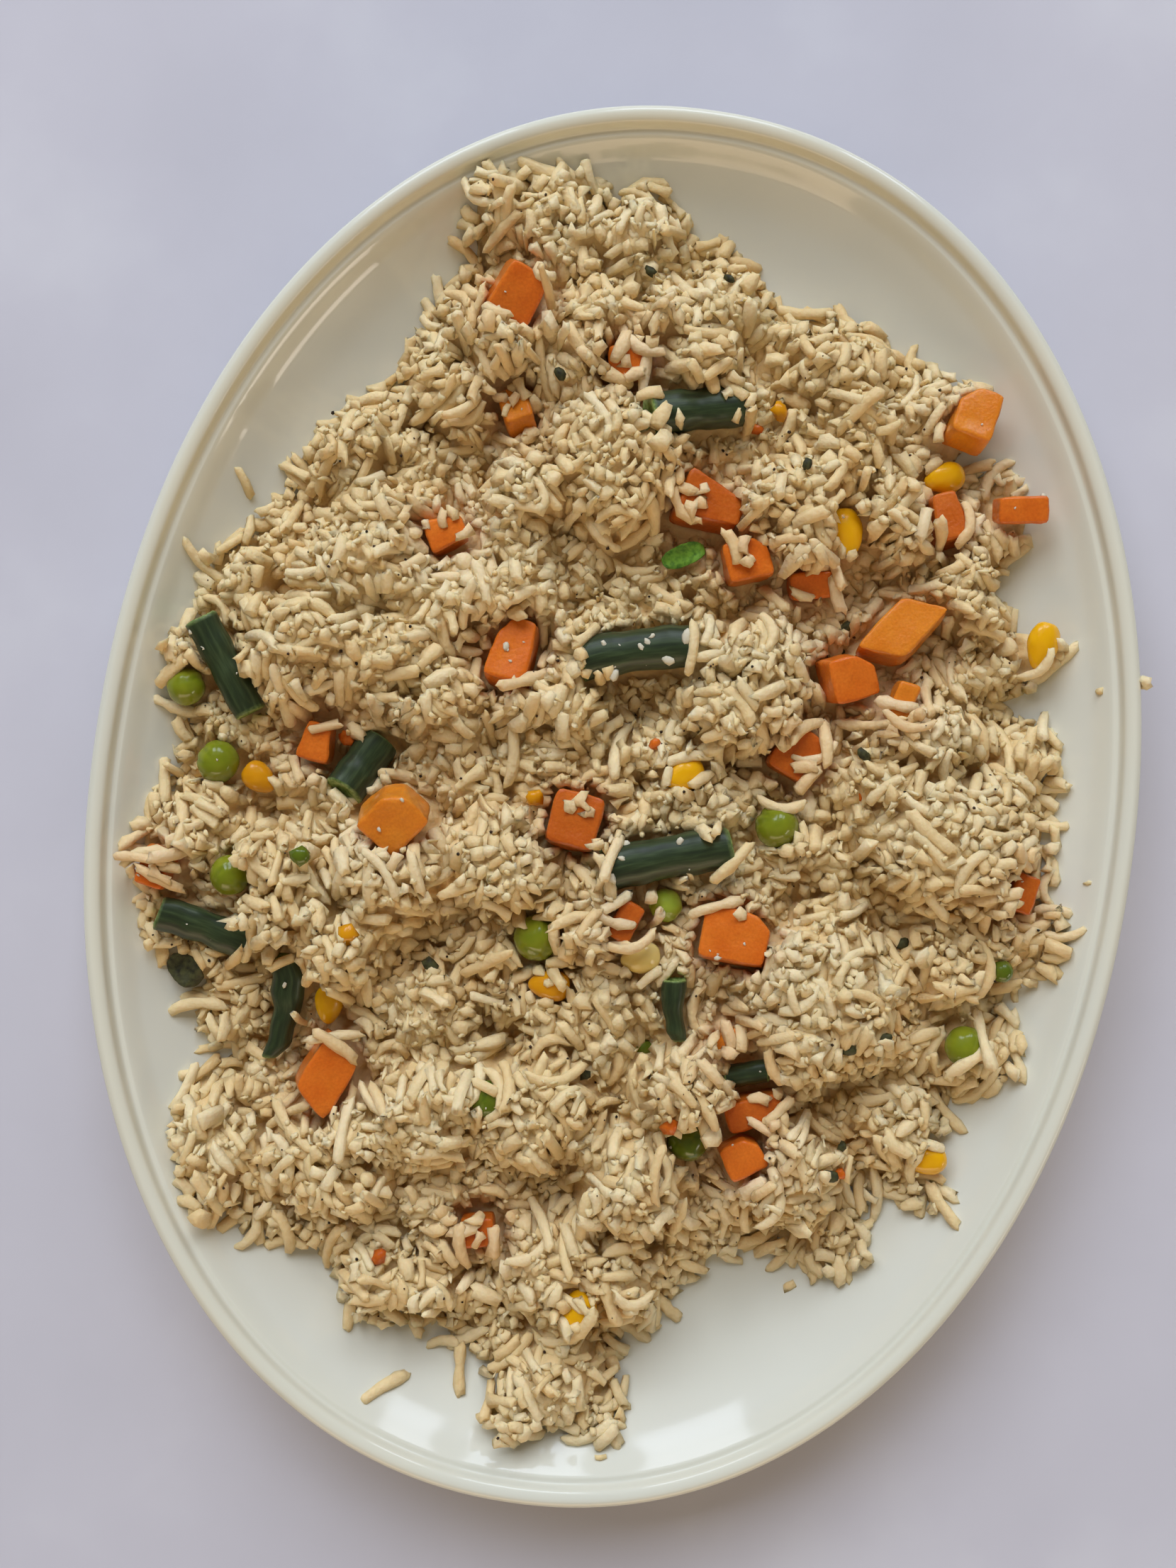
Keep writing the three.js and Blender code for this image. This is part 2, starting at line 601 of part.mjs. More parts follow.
// Sets a piece on the rice, tipped about its own length and breadth, then turned.
function settle(mesh, [x, y], lift, turn = 0, [roll, pitch] = [0, 0]) {
  mesh.rotation.set(radians(roll), radians(pitch), radians(turn), "ZYX");
  mesh.position.set(x, y, riceHeight(x, y) + lift);
  return mesh;
}

// Lays a bean on the rice under its two ends.
function layBean(mesh, { from, to, lift }) {
  const [x1, y1] = from;
  const [x2, y2] = to;
  const inner = 0.2; // the rice is felt this share of its length in from each end
  const feel = (share) => riceHeight(x1 + (x2 - x1) * share, y1 + (y2 - y1) * share);
  const near = feel(inner);
  const far = feel(1 - inner);
  const length = Math.hypot(x2 - x1, y2 - y1);
  const steep = 0.3; // radians
  const slope = THREE.MathUtils.clamp(Math.atan2(far - near, length * (1 - 2 * inner)), -steep, steep);
  mesh.rotation.set(0, -slope, Math.atan2(y2 - y1, x2 - x1), "ZYX");
  mesh.position.set((x1 + x2) / 2, (y1 + y2) / 2, (near + far) / 2 + lift);
  return mesh;
}

addPiece("plate", plateGeometry(), colours.plate, 0.15);

// Each vegetable with the bed that the rice leaves for it.
const vegetables = [
  ...carrots.map((carrot, i) => {
    const colour = colours[carrot.tint ?? "carrot"];
    const mesh = addPiece(numbered("carrot", i), carrotGeometry(carrot), colour, 0.4);
    return [settle(mesh, carrot.at, carrot.lift, carrot.turn, carrot.tip), carrotBed(carrot)];
  }),
  ...cornKernels.map((kernel, i) => {
    const colour = { pale: colours.pale, deep: colours.deepCorn }[kernel.tint] ?? colours.corn;
    const mesh = addPiece(numbered("corn", i), cornGeometry(kernel), colour, 0.3);
    return [settle(mesh, kernel.at, kernel.lift, kernel.turn, kernel.tip), cornBed(kernel)];
  }),
  ...peas.map((pea, i) => {
    const mesh = addPiece(numbered("pea", i), peaGeometry(pea), colours[pea.tint], 0.25);
    return [settle(mesh, pea.at, pea.lift), peaBed(pea)];
  }),
  ...beans.map((bean, i) => {
    const mesh = addPiece(numbered("bean", i), beanGeometry(bean), colours.bean, 0.45);
    return [layBean(mesh, bean), beanBed(bean)];
  }),
  ...leaves.map((leaf, i) => {
    const colour = leaf.tint === "dark" ? colours.leaf : colours.leafBright;
    const mesh = addPiece(numbered("leaf", i), leafGeometry(leaf), colour, 0.5);
    return [settle(mesh, leaf.at, leaf.lift, leaf.turn), leafBed(leaf)];
  }),
];

// The rice fills the platter round every vegetable, and its largest piece is kept.
let rice = riceBlank().intersect(foodSpace());
for (const [mesh, bed] of vegetables) {
  mesh.updateMatrixWorld();
  rice = rice.subtract(solidFrom(bed.applyMatrix4(mesh.matrixWorld)));
}
const [heap] = rice.decompose().sort((a, b) => b.volume() - a.volume());
addPiece("rice_heap", geometryFrom(heap), colours.rice, 0.6);

export default platter;
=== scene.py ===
"""A long oval platter of vegetable rice, seen from straight above.

The platter is glazed porcelain. The rice is a sticky mass whose separate grains are laid down one by one,
so that each rests on those below. Diced carrot, sweetcorn, peas, cut beans and herb leaves lie in it.
Sizes are in millimetres until a mesh is made. The platter's long axis lies along Y.
"""

import json
import math

import bmesh
import bpy
import numpy as np
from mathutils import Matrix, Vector, noise
from mathutils.bvhtree import BVHTree


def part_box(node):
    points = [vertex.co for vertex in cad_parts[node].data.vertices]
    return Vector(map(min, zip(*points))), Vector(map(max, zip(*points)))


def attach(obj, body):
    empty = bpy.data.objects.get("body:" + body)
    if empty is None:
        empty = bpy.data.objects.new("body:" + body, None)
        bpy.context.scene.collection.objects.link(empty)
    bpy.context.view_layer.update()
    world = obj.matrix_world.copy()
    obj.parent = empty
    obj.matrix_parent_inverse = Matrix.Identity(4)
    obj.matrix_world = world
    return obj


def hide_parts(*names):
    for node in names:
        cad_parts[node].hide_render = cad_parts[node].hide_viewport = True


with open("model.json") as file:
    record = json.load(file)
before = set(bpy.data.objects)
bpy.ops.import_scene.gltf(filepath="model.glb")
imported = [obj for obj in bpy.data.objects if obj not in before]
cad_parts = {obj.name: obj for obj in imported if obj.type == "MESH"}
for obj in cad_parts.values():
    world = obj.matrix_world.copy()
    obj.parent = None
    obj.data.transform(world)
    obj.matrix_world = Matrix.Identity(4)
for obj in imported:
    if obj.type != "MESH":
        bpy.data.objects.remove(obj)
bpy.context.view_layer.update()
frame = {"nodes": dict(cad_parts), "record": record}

MM = 0.001

# ---- Camera, in the platter's own frame ----
CAMERA_PLACE = (-5.5, 3.7, 324.0)
PICTURE_TURN = 8.6  # degrees that the platter's long axis leans to the right in the picture
LENS = 34.8

# ---- The platter ----
OVAL_POWER = 2.09
END_REACH = 36.0
WELL_HALF_WIDTH = 66.0
RIM_HALF_WIDTH = 104.0
UPPER_FACE = [
    (0, 6), (30, 6), (WELL_HALF_WIDTH, 6), (78, 7.6), (88, 12), (95, 17.2), (98.6, 21), (99.8, 21.4),
    (100.6, 23.3), (102.2, 24), (103.5, 23.4), (RIM_HALF_WIDTH, 22),
]
UNDERSIDE = [(RIM_HALF_WIDTH, 22), (101.4, 18.6), (93.5, 11.2), (83, 5.2), (71, 2.6), (63.2, 2.1)]
FOOT_RING = [(62.6, 1.6), (62.1, 0.3), (61.6, 0), (57.4, 0), (56.9, 0.3), (56.4, 1.8), (55.6, 2.2), (0, 2.2)]
PLATTER_SIDES = 224

# ---- The rice ----
CELL = 0.4  # spacing of the grid of heights that the food is laid on
X_REACH = 107.0
Y_REACH = 143.0
HIGHEST = 34.5
EDGE_LAP = 1.4  # here and there rice laps this far over the edges of the vegetables
EVENED_OVER = 1.6  # the heap's own face is evened out over this size,
SWELL_SIZE = 24.0  # its swells up to this size are drawn out further,
SWELL_GAIN = 1.2  # by this share of their height
CLUMP_SIZE = 13.0  # broken rice sticks together in clumps, with creases between them
CLUMP_HEIGHT = 2.8
KNOB_SIZE = 4.4
KNOB_HEIGHT = 1.0
PIT_SIZE = 4.5
PIT_DEPTH = 2.6
GRAIN_SINK = 0.85  # soft grains press into each other by this share of their radius
MOST_RISE = 6.0  # a grain leans up no further than this from its middle to its end

# The sticky mass that the grains lie in.
MASS_DEPTH = 5.2  # how far below the heap's face the first grains are laid
MASS_COVER = 0.4  # beside a vegetable the mass stays this far below the heap's face
MASS_CELL = 0.72  # spacing of its own mesh
STARCH_SINK = (0.45, 1.2)  # starch stands this far below the grains' backs where crumbly, and where loose
STARCH_SPREAD = 0.4
CREASE_DEPTH = 1.6  # between two clumps the gaps stay open this much deeper
CREASE_WIDTH = 0.4
STEEPEST = 1.7  # the mass rises no steeper than this; grains make up the rest of the heap's steep sides
STEEP_STEPS = 20
UNDER_STAGES = (1.0, 0.92, 0.84, 0.76, 0.68, 0.6)  # its underside follows the platter inwards in these steps
UNDER_GAP = 0.3  # it stays this far above the platter
THINNEST = 0.3

# Rice that has fallen over the vegetables, or hides part of them: [x, y, radius].
SPILLS = [
    (4.5, 59, 4), (7, 63, 3.5), (-6.7, -2.4, 3.8), (-7.2, 25.4, 3.4), (11.6, 37.3, 2.6), (-1, -9.7, 3.7),
    (19.4, -1.1, 2.6), (30.7, -14.8, 4), (35.5, -27.5, 4), (-8, -31.5, 2.4), (80.1, -38.8, 4.2),
    (72.3, -34.5, 2.5), (-19.3, -58, 3.1), (-12.2, -57.4, 2.4), (28, -59.5, 3.1), (10.1, 87, 4.4),
    (-1, 76, 3.7), (15.4, 80, 3), (-12, 89, 3.6), (-6, 84, 3), (-33.6, 78.5, 3.1), (-43.5, 51.4, 3.1),
    (33.3, 53.5, 3.4), (-86, -22.5, 4.4), (39.5, -54.5, 4), (31, -53.5, 2.5), (-54.6, 7, 4.2),
    (-67, -39.6, 3.2), (-5.7, -34.8, 3), (31.1, 19.8, 3.7), (39.5, 13.6, 3), (-16.2, -89.3, 3.7),
    (82.9, -8.5, 2.5), (-61, 8.5, 3.2), (-51.9, -50.5, 2.4), (-71, -8, 2.6), (71.8, -64.5, 2.6),
    (8.4, -97.5, 2.6), (52.4, 27.5, 2), (15.4, 55, 3.4), (-29, 102, 3.1), (-22, 20.9, 2.6), (-76, -3, 2.4),
    (-71, -22.3, 2.4), (29, -51.2, 2.4), (77, 41, 2.4), (55, 72.5, 2.2), (54.8, 62, 3), (-46.9, -11.8, 2),
    (35, 15.6, 3), (-88, -25.5, 3), (37, -56.3, 3.6), (30, -43, 2.6), (19, 51.5, 2.6), (6, -22, 2.4),
    (-80.4, 19.5, 2.2), (-53, -66, 2.6), (-62, -39, 3), (13.5, -20.5, 2),
]

# Small pieces that lie in the rice: [x, y, radius].
GREEN_FLECKS = [
    (-23, 83, 1.5), (27.1, 71, 1.3), (41.5, 43, 1.6), (42.5, 39, 1.4), (47.7, 17.6, 1.7),
    (-31.2, -36.6, 2.0), (2.4, -53.5, 1.4), (53, -40, 1.5), (60.5, -45.7, 1.3), (53.2, -65.4, 1.6),
    (56.3, -61.4, 1.3), (59, -36.4, 1.2), (61.8, -18.4, 1.4), (-8.5, 107, 1.3), (7.5, 108.5, 1.2),
]
CORN_SCRAPS = [(21.2, 83.4, 2.1), (-47.2, -32.1, 2.2), (-15.6, -0.5, 2.0)]
PEA_SCRAPS = [(-58.4, -18.3, 2.0), (13.6, -47.8, 2.0)]
CARROT_SCRAPS = [(48.5, 9.2, 1.6), (56.6, -66.7, 1.5), (17.7, 80, 1.5), (6.4, 13.7, 1.4), (20.5, -59.6, 1.8)]
# Carrot scraps in the deep finish: partly a deeper carrot colour, partly painted shade where they lie in
# shadow.
DEEP_SCRAPS = [(-54.8, 5.5, 2.0), (-32.7, -96.1, 2.0)]

# Flakes of rice stuck to beans, peas, corn and carrots: [x, y, radius].
STUCK_FLAKES = [
    (0.7, 31.8, 0.8), (1.8, 32.9, 0.9), (-2.8, 29.5, 0.5), (-3.7, 27.4, 0.5), (6.4, 30, 1.5),
    (9.3, 34.9, 1.6), (-3.7, 25.6, 1.3), (-6.6, 31.4, 0.8), (3.9, -7.2, 1.3), (13.9, -4.7, 1.0),
    (3.3, -9.7, 0.8), (1.7, -13.8, 1.2), (-25.5, 28.1, 1.0), (-24.2, 25.3, 0.4),
]

# Pieces at random places.
CRUMB_TRIES = 3600
MORE_FLAKES = 36
PEPPER_SPECKS = 260

# Grains that lie by themselves on the platter: kind, x, y, heading in degrees, length.
STRAY_GRAINS = [
    ("long", -28, -123.5, 30.3, 9.7), ("curved", -18, -115, 14.6, 7.4), ("long", -13.6, -119.5, -81, 10.6),
    ("bit", 17.3, -130, 20, 2.6), ("broken", -84, 54.1, -58, 6.4), ("bit", 51.4, -93.2, 40, 3.0),
    ("bit", 100.7, 40.1, 80, 2.4), ("crumb", 93.4, 37.6, 0, 1.2), ("crumb", 96.9, -0.9, 0, 1.2),
]

# ---- Small helpers ----


def linear(hex_colour):
    """Linear colour of an sRGB hex value."""
    parts = [int(hex_colour[i : i + 2], 16) / 255 for i in (1, 3, 5)]
    return [p / 12.92 if p <= 0.04045 else ((p + 0.055) / 1.055) ** 2.4 for p in parts] + [1.0]


def per_mm(size):
    """Scale of a pattern in object space whose real size is in millimetres."""
    return 1 / (size * MM)


def add_node(tree, kind, inputs=None, **settings):
    """Adds a node with its settings; an input given as a socket is linked."""
    node = tree.nodes.new(kind)
    for name, value in settings.items():
        setattr(node, name, value)
    for name, value in (inputs or {}).items():
        if isinstance(value, bpy.types.NodeSocket):
            tree.links.new(value, node.inputs[name])
        else:
            node.inputs[name].default_value = value
    return node


def new_material(name, **constants):
    """A material with one shader, whose constant sockets are set on it."""
    material = bpy.data.materials.new(name)
    material.use_nodes = True
    tree = material.node_tree
    shader = tree.nodes["Principled BSDF"]
    for socket, value in constants.items():
        shader.inputs[socket.replace("_", " ")].default_value = value
    return material, tree, shader


def set_colour(tree, shader, socket):
    """Gives the finish its colour."""
    tree.links.new(socket, shader.inputs["Base Color"])


def soft_material(name, roughness, ior, share, reach, depth, **constants):
    """A material that light sinks into: reach for red, green and blue as shares of depth, in millimetres."""
    sinks_in = dict(Subsurface_Weight=share, Subsurface_Radius=reach, Subsurface_Scale=depth * MM)
    return new_material(name, Roughness=roughness, IOR=ior, **sinks_in, **constants)


def ramp(tree, factor, stops):
    """Colours along a factor: stops are (place, hex colour)."""
    node = add_node(tree, "ShaderNodeValToRGB", {"Fac": factor})
    elements = node.color_ramp.elements
    while len(elements) < len(stops):
        elements.new(0.5)
    for element, (place, colour) in zip(elements, stops):
        element.position = place
        element.color = linear(colour)
    return node.outputs["Color"]


def blend(tree, factor, first, second, mode="MIX"):
    """Mixes two colours; each is a socket or a hex value."""
    as_input = lambda value: linear(value) if isinstance(value, str) else value
    mix = add_node(tree, "ShaderNodeMix", data_type="RGBA", blend_type=mode)
    for index, value in ((0, factor), (6, as_input(first)), (7, as_input(second))):
        if isinstance(value, bpy.types.NodeSocket):
            tree.links.new(value, mix.inputs[index])
        else:
            mix.inputs[index].default_value = value
    return mix.outputs[2]


def relief(tree, shader, height, depth, strength):
    """Raises the finish: depth in millimetres."""
    raised = {"Height": height, "Distance": depth * MM, "Strength": strength}
    bump = add_node(tree, "ShaderNodeBump", raised)
    tree.links.new(bump.outputs["Normal"], shader.inputs["Normal"])


def attribute(tree, name):
    return add_node(tree, "ShaderNodeAttribute", attribute_name=name).outputs["Fac"]


def place_on(tree):
    return add_node(tree, "ShaderNodeTexCoord").outputs["Object"]


def pattern(tree, size, detail=2.0, stretch=(1, 1, 1), vector=None):
    """Noise whose blobs are about size millimetres, drawn out by stretch."""
    drawn_out = {"Vector": vector or place_on(tree), "Scale": [1 / s for s in stretch]}
    mapped = add_node(tree, "ShaderNodeMapping", drawn_out)
    made = {"Vector": mapped.outputs["Vector"], "Scale": per_mm(size), "Detail": detail}
    return add_node(tree, "ShaderNodeTexNoise", made).outputs["Fac"]


def make_piece(name, points, faces, material, attributes=None, instead_of=None):
    """A mesh piece from points in millimetres; it rides with the platter, and may replace a solid's node."""
    mesh = bpy.data.meshes.new(name)
    mesh.from_pydata((np.asarray(points) * MM).tolist(), [], faces)
    for label, values in (attributes or {}).items():
        layer = mesh.attributes.new(label, "FLOAT", "POINT")
        layer.data.foreach_set("value", np.asarray(values, dtype=np.float32))
    mesh.polygons.foreach_set("use_smooth", [True] * len(mesh.polygons))
    mesh.materials.append(material)
    mesh.validate()
    piece = bpy.data.objects.new(name, mesh)
    bpy.context.scene.collection.objects.link(piece)
    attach(piece, "root")
    if instead_of:
        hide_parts(instead_of)
    return piece


# ---- Finishes ----


def glazed_porcelain():
    """White clay under a clear, slightly cream glaze: glossy, a touch yellower where it pools at the rim."""
    material, tree, shader = new_material("glazed porcelain", Roughness=0.09, IOR=1.52)
    height = add_node(tree, "ShaderNodeSeparateXYZ", {"Vector": place_on(tree)}).outputs["Z"]
    near_rim = {"Value": height, "From Min": 17 * MM, "From Max": 23 * MM}
    up_the_wall = add_node(tree, "ShaderNodeMapRange", near_rim, clamp=True).outputs["Result"]
    tint = blend(tree, up_the_wall, "#DCDBCB", "#E0DCC4")
    cloud = pattern(tree, 40, 1.0)
    set_colour(tree, shader, blend(tree, cloud, tint, "#D8D8C8"))
    relief(tree, shader, pattern(tree, 22, 0.0), 0.05, 0.5)
    return material


def boiled_rice():
    """Long rice boiled soft in stock: a cream, slightly see-through starch, duller where it has broken."""
    material, tree, shader = soft_material("boiled rice", 0.46, 1.43, 0.35, (1.0, 0.7, 0.42), 1.5)
    # This attribute holds each grain's own tone together with painted shade that darkens rice lying deeper in
    # the heap.
    tone_and_shade = attribute(tree, "tone_and_shade")
    own = ramp(tree, tone_and_shade, [(0.0, "#B8905C"), (0.35, "#E6C78E"), (0.7, "#EDD6A2"), (1.0, "#F2E4BC")])
    blotch = blend(tree, pattern(tree, 1.6, 2.0), "#C9AE84", "#FFFFFF")
    mottled = blend(tree, 0.35, own, blotch, "MULTIPLY")
    stained = blend(tree, attribute(tree, "stain"), mottled, "#E2A88A")
    set_colour(tree, shader, stained)
    relief(tree, shader, pattern(tree, 1.1, 3.0), 0.45, 0.7)
    return material


def starch_flake():
    """A thin flake of burst rice, wet enough to see a little through it."""
    material, tree, shader = soft_material(
        "starch flake", 0.35, 1.4, 0.3, (1.0, 0.9, 0.8), 0.8, Transmission_Weight=0.15
    )
    set_colour(tree, shader, blend(tree, pattern(tree, 1.0, 2.0), "#D6CDB0", "#EBE3CA"))
    return material


def boiled_carrot(name, flesh, heart):
    """Diced carrot, boiled: wet orange flesh with fine fibres, paler towards its heart."""
    material, tree, shader = soft_material(
        name, 0.34, 1.38, 0.25, (1.0, 0.35, 0.12), 1.6, Coat_Weight=0.35, Coat_Roughness=0.16
    )
    flesh_tone = blend(tree, pattern(tree, 6, 1.0), flesh, heart)
    fibres = ramp(tree, pattern(tree, 0.5, 2.0, stretch=(1, 1, 7)), [(0.3, "#C9A48C"), (0.7, "#FFFFFF")])
    streaked = blend(tree, 0.3, flesh_tone, fibres, "MULTIPLY")
    set_colour(tree, shader, streaked)
    relief(tree, shader, pattern(tree, 0.8, 3.0), 0.2, 0.8)
    return material


def sweetcorn(name, crown, base):
    """A corn kernel's thin skin: smooth and glossy over yellow flesh, paler at the base."""
    material, tree, shader = soft_material(
        name, 0.24, 1.42, 0.25, (1.0, 0.7, 0.15), 1.6, Coat_Weight=0.5, Coat_Roughness=0.1
    )
    set_colour(tree, shader, blend(tree, pattern(tree, 5, 1.0), crown, base))
    relief(tree, shader, pattern(tree, 1.6, 1.0), 0.08, 0.4)
    return material


def pea_skin(name, bright, deep):
    """A boiled pea's tight wet skin: bright green, with its deep green painted into its folds as shade."""
    material, tree, shader = soft_material(
        name, 0.22, 1.42, 0.2, (0.5, 1.0, 0.2), 1.4, Coat_Weight=0.5, Coat_Roughness=0.1
    )
    patch = blend(tree, pattern(tree, 3.4, 2.0), deep, bright)
    # Painted shade: the folds are coloured the deep green.
    set_colour(tree, shader, blend(tree, attribute(tree, "crease_shade"), patch, deep))
    relief(tree, shader, pattern(tree, 2.0, 1.0), 0.12, 0.4)
    return material


def bean_pod():
    """A cut green bean, boiled: dark blue-green skin with a greyish bloom in streaks, pale at the cut."""
    material, tree, shader = new_material(
        "boiled bean pod", Roughness=0.42, IOR=1.42, Coat_Weight=0.2, Coat_Roughness=0.25
    )
    along = add_node(tree, "ShaderNodeAttribute", attribute_name="pod").outputs["Vector"]
    streaks = pattern(tree, 0.9, 3.0, stretch=(9, 1, 1), vector=along)
    skin = ramp(tree, streaks, [(0.25, "#20281A"), (0.5, "#2E3A22"), (0.72, "#404E30"), (0.9, "#5A6B48")])
    cut = ramp(tree, pattern(tree, 0.7, 2.0), [(0.3, "#5C7A34"), (0.7, "#A6B76C")])
    set_colour(tree, shader, blend(tree, attribute(tree, "cut"), skin, cut))
    relief(tree, shader, streaks, 0.12, 0.5)
    return material


def herb_leaf(name, dark, light):
    """A boiled herb leaf: limp, dark and matt, with paler veins."""
    material, tree, shader = new_material(name, Roughness=0.5, IOR=1.4)
    veins = pattern(tree, 1.1, 3.0)
    set_colour(tree, shader, ramp(tree, veins, [(0.3, dark), (0.62, light)]))
    relief(tree, shader, veins, 0.2, 0.6)
    return material


def ground_pepper():
    """Ground pepper and scorched crumbs: almost black, dry and matt."""
    material, tree, shader = new_material("ground pepper", Roughness=0.7)
    grit = ramp(tree, pattern(tree, 0.8, 2.0), [(0.35, "#171210"), (0.7, "#4A3524")])
    set_colour(tree, shader, grit)
    return material


def painted_board():
    """A smooth board painted a pale cool grey, a little cloudy from the brush."""
    material, tree, shader = new_material("painted board", Roughness=0.6, Specular_IOR_Level=0.25)
    paint = ramp(tree, pattern(tree, 60, 4.0), [(0.3, "#C6C5CC"), (0.55, "#CBCAD1"), (0.75, "#D3D3D8")])
    set_colour(tree, shader, paint)
    return material


# ---- The platter's form ----


def rounded(points, steps):
    """A smooth line through points, with steps to each stretch."""
    points = np.array(points, float)
    ends = [2 * points[0] - points[1], *points, 2 * points[-1] - points[-2]]
    line = []
    for before, start, stop, after in zip(ends, ends[1:], ends[2:], ends[3:]):
        span = np.linalg.norm(stop - start)
        pull_in = (stop - before) * span / (np.linalg.norm(start - before) + span)
        pull_out = (after - start) * span / (np.linalg.norm(after - stop) + span)
        for t in np.arange(steps) / steps:
            leave = 2 * t**3 - 3 * t**2 + 1
            arrive = -2 * t**3 + 3 * t**2
            out_pull, in_pull = t**3 - 2 * t**2 + t, t**3 - t**2
            line.append(leave * start + out_pull * pull_in + arrive * stop + in_pull * pull_out)
    return np.array([*line, points[-1]])


def reach_along_y(ring):
    """How far the ring of a given half width reaches along Y."""
    well = ring * (WELL_HALF_WIDTH + END_REACH) / WELL_HALF_WIDTH
    return np.where(ring > WELL_HALF_WIDTH, ring + END_REACH, well)


UPPER_LINE = rounded(UPPER_FACE, 8)


def platter_height(x, y):
    """Height of the platter's upper face, by halving towards the ring through each point."""
    low = np.zeros(np.shape(x))
    high = np.full(np.shape(x), RIM_HALF_WIDTH * 1.6)
    for _ in range(26):
        ring = (low + high) / 2
        share = (np.abs(x) / ring) ** OVAL_POWER + (np.abs(y) / reach_along_y(ring)) ** OVAL_POWER
        low = np.where(share > 1, ring, low)
        high = np.where(share > 1, high, ring)
    return np.interp(low, UPPER_LINE[:, 0], UPPER_LINE[:, 1], right=0.0)


def make_platter():
    """The platter as rings of points round one section, from the well over the rim to the foot ring."""
    section = np.concatenate([UPPER_LINE, rounded(UNDERSIDE, 6)[1:], np.array(FOOT_RING, float)])
    rings = section[1:-1]
    angle = np.linspace(0, 2 * math.pi, PLATTER_SIDES, endpoint=False)
    bulge = lambda share: np.sign(share) * np.abs(share) ** (2 / OVAL_POWER)
    x = rings[:, :1] * bulge(np.cos(angle))
    y = reach_along_y(rings[:, :1]) * bulge(np.sin(angle))
    z = np.broadcast_to(rings[:, 1:], x.shape)
    points = np.stack([x, y, z], -1).reshape(-1, 3)
    top, bottom = len(points), len(points) + 1
    points = np.concatenate([points, [[0, 0, section[0, 1]], [0, 0, section[-1, 1]]]])
    index = np.arange(len(rings) * PLATTER_SIDES).reshape(len(rings), PLATTER_SIDES)
    after = np.roll(index, -1, axis=1)
    walls = np.stack([index[:-1], index[1:], after[1:], after[:-1]], -1).reshape(-1, 4)
    faces = walls.tolist()
    faces += [[top, a, b] for a, b in zip(index[0].tolist(), after[0].tolist())]
    faces += [[bottom, b, a] for a, b in zip(index[-1].tolist(), after[-1].tolist())]
    make_piece("porcelain_platter", points, faces, glazed_porcelain(), instead_of="plate")


# ---- The grid of heights that the food is laid on ----

grid_x = -X_REACH + CELL * np.arange(int(2 * X_REACH / CELL) + 1)
grid_y = -Y_REACH + CELL * np.arange(int(2 * Y_REACH / CELL) + 1)
every_x, every_y = np.meshgrid(grid_x, grid_y)


def cell_of(x, y):
    """Row and column of the grid's cell at a place."""
    column = np.clip(((np.asarray(x) + X_REACH) / CELL + 0.5).astype(int), 0, len(grid_x) - 1)
    row = np.clip(((np.asarray(y) + Y_REACH) / CELL + 0.5).astype(int), 0, len(grid_y) - 1)
    return row, column


def heights_over(node):
    """Height of a solid's top over every cell, and nothing where it isn't."""
    mesh = frame["nodes"][node].data
    tree = BVHTree.FromPolygons([v.co for v in mesh.vertices], [p.vertices for p in mesh.polygons])
    low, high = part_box(node)
    heights = np.full(every_x.shape, np.nan)
    first_row, first_column = cell_of(low.x / MM, low.y / MM)
    last_row, last_column = cell_of(high.x / MM, high.y / MM)
    down = Vector((0, 0, -1))
    for row in range(first_row, last_row + 1):
        for column in range(first_column, last_column + 1):
            start = Vector((grid_x[column] * MM, grid_y[row] * MM, 0.1))
            hit = tree.ray_cast(start, down)[0]
            if hit:
                heights[row, column] = hit.z / MM
    return heights


def smoothed(values, size):
    """Values blurred over size millimetres."""
    rows = np.fft.fftfreq(values.shape[0], CELL)[:, None]
    columns = np.fft.rfftfreq(values.shape[1], CELL)[None, :]
    spread = np.exp(-2 * (math.pi * size) ** 2 * (rows**2 + columns**2))
    return np.fft.irfft2(np.fft.rfft2(values) * spread, values.shape)


def lumps(seed, size):
    """Even random swells about size millimetres across, between about -2 and 2."""
    raw = smoothed(np.random.default_rng(seed).standard_normal(every_x.shape), size / 2)
    return (raw - raw.mean()) / raw.std()


slot_of = {part["node"]: part["material_slot"] for part in frame["record"]["subparts"]}
vegetable_nodes = sorted(name for name in frame["nodes"] if name not in ("plate", "rice_heap"))
carrot_nodes = [name for name in vegetable_nodes if name.startswith("carrot")]


def middle_of(node):
    low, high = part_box(node)
    return np.array((low + high) / 2) / MM


platter_top = platter_height(every_x, every_y)
heap_top = heights_over("rice_heap")
in_heap = ~np.isnan(heap_top)
vegetable_top = np.full(every_x.shape, np.nan)
for node in vegetable_nodes:
    vegetable_top = np.fmax(vegetable_top, heights_over(node))
on_vegetable = ~np.isnan(vegetable_top)

# Where rice is kept off the vegetables: everywhere on them but at the spills and at patches of their edges.
spilled = np.zeros(every_x.shape, bool)
for spill_x, spill_y, reach in SPILLS:
    spilled |= (every_x - spill_x) ** 2 + (every_y - spill_y) ** 2 < reach**2
inner_vegetable = smoothed(on_vegetable.astype(float), EDGE_LAP * 0.6) > 0.93
lapped = ~inner_vegetable & (lumps(12, 7.0) > 0.3)
kept_clear = on_vegetable & ~spilled & ~lapped

# The face that the finished rice comes up to: the heap's own, evened out, with its swells drawn out,
# and with rounded clumps and sharp creases between them.
bare_heap = in_heap & ~on_vegetable


def heap_evened(size):
    """The bare heap's face evened out over a size, carried on under the vegetables."""
    weight = smoothed(bare_heap.astype(float), size)
    return smoothed(np.where(bare_heap, heap_top, 0.0), size) / np.maximum(weight, 0.02)


def ridges(seed, size):
    """Rounded ridges about size millimetres across with sharp creases between them."""
    return np.abs(lumps(seed, size)) - 0.7


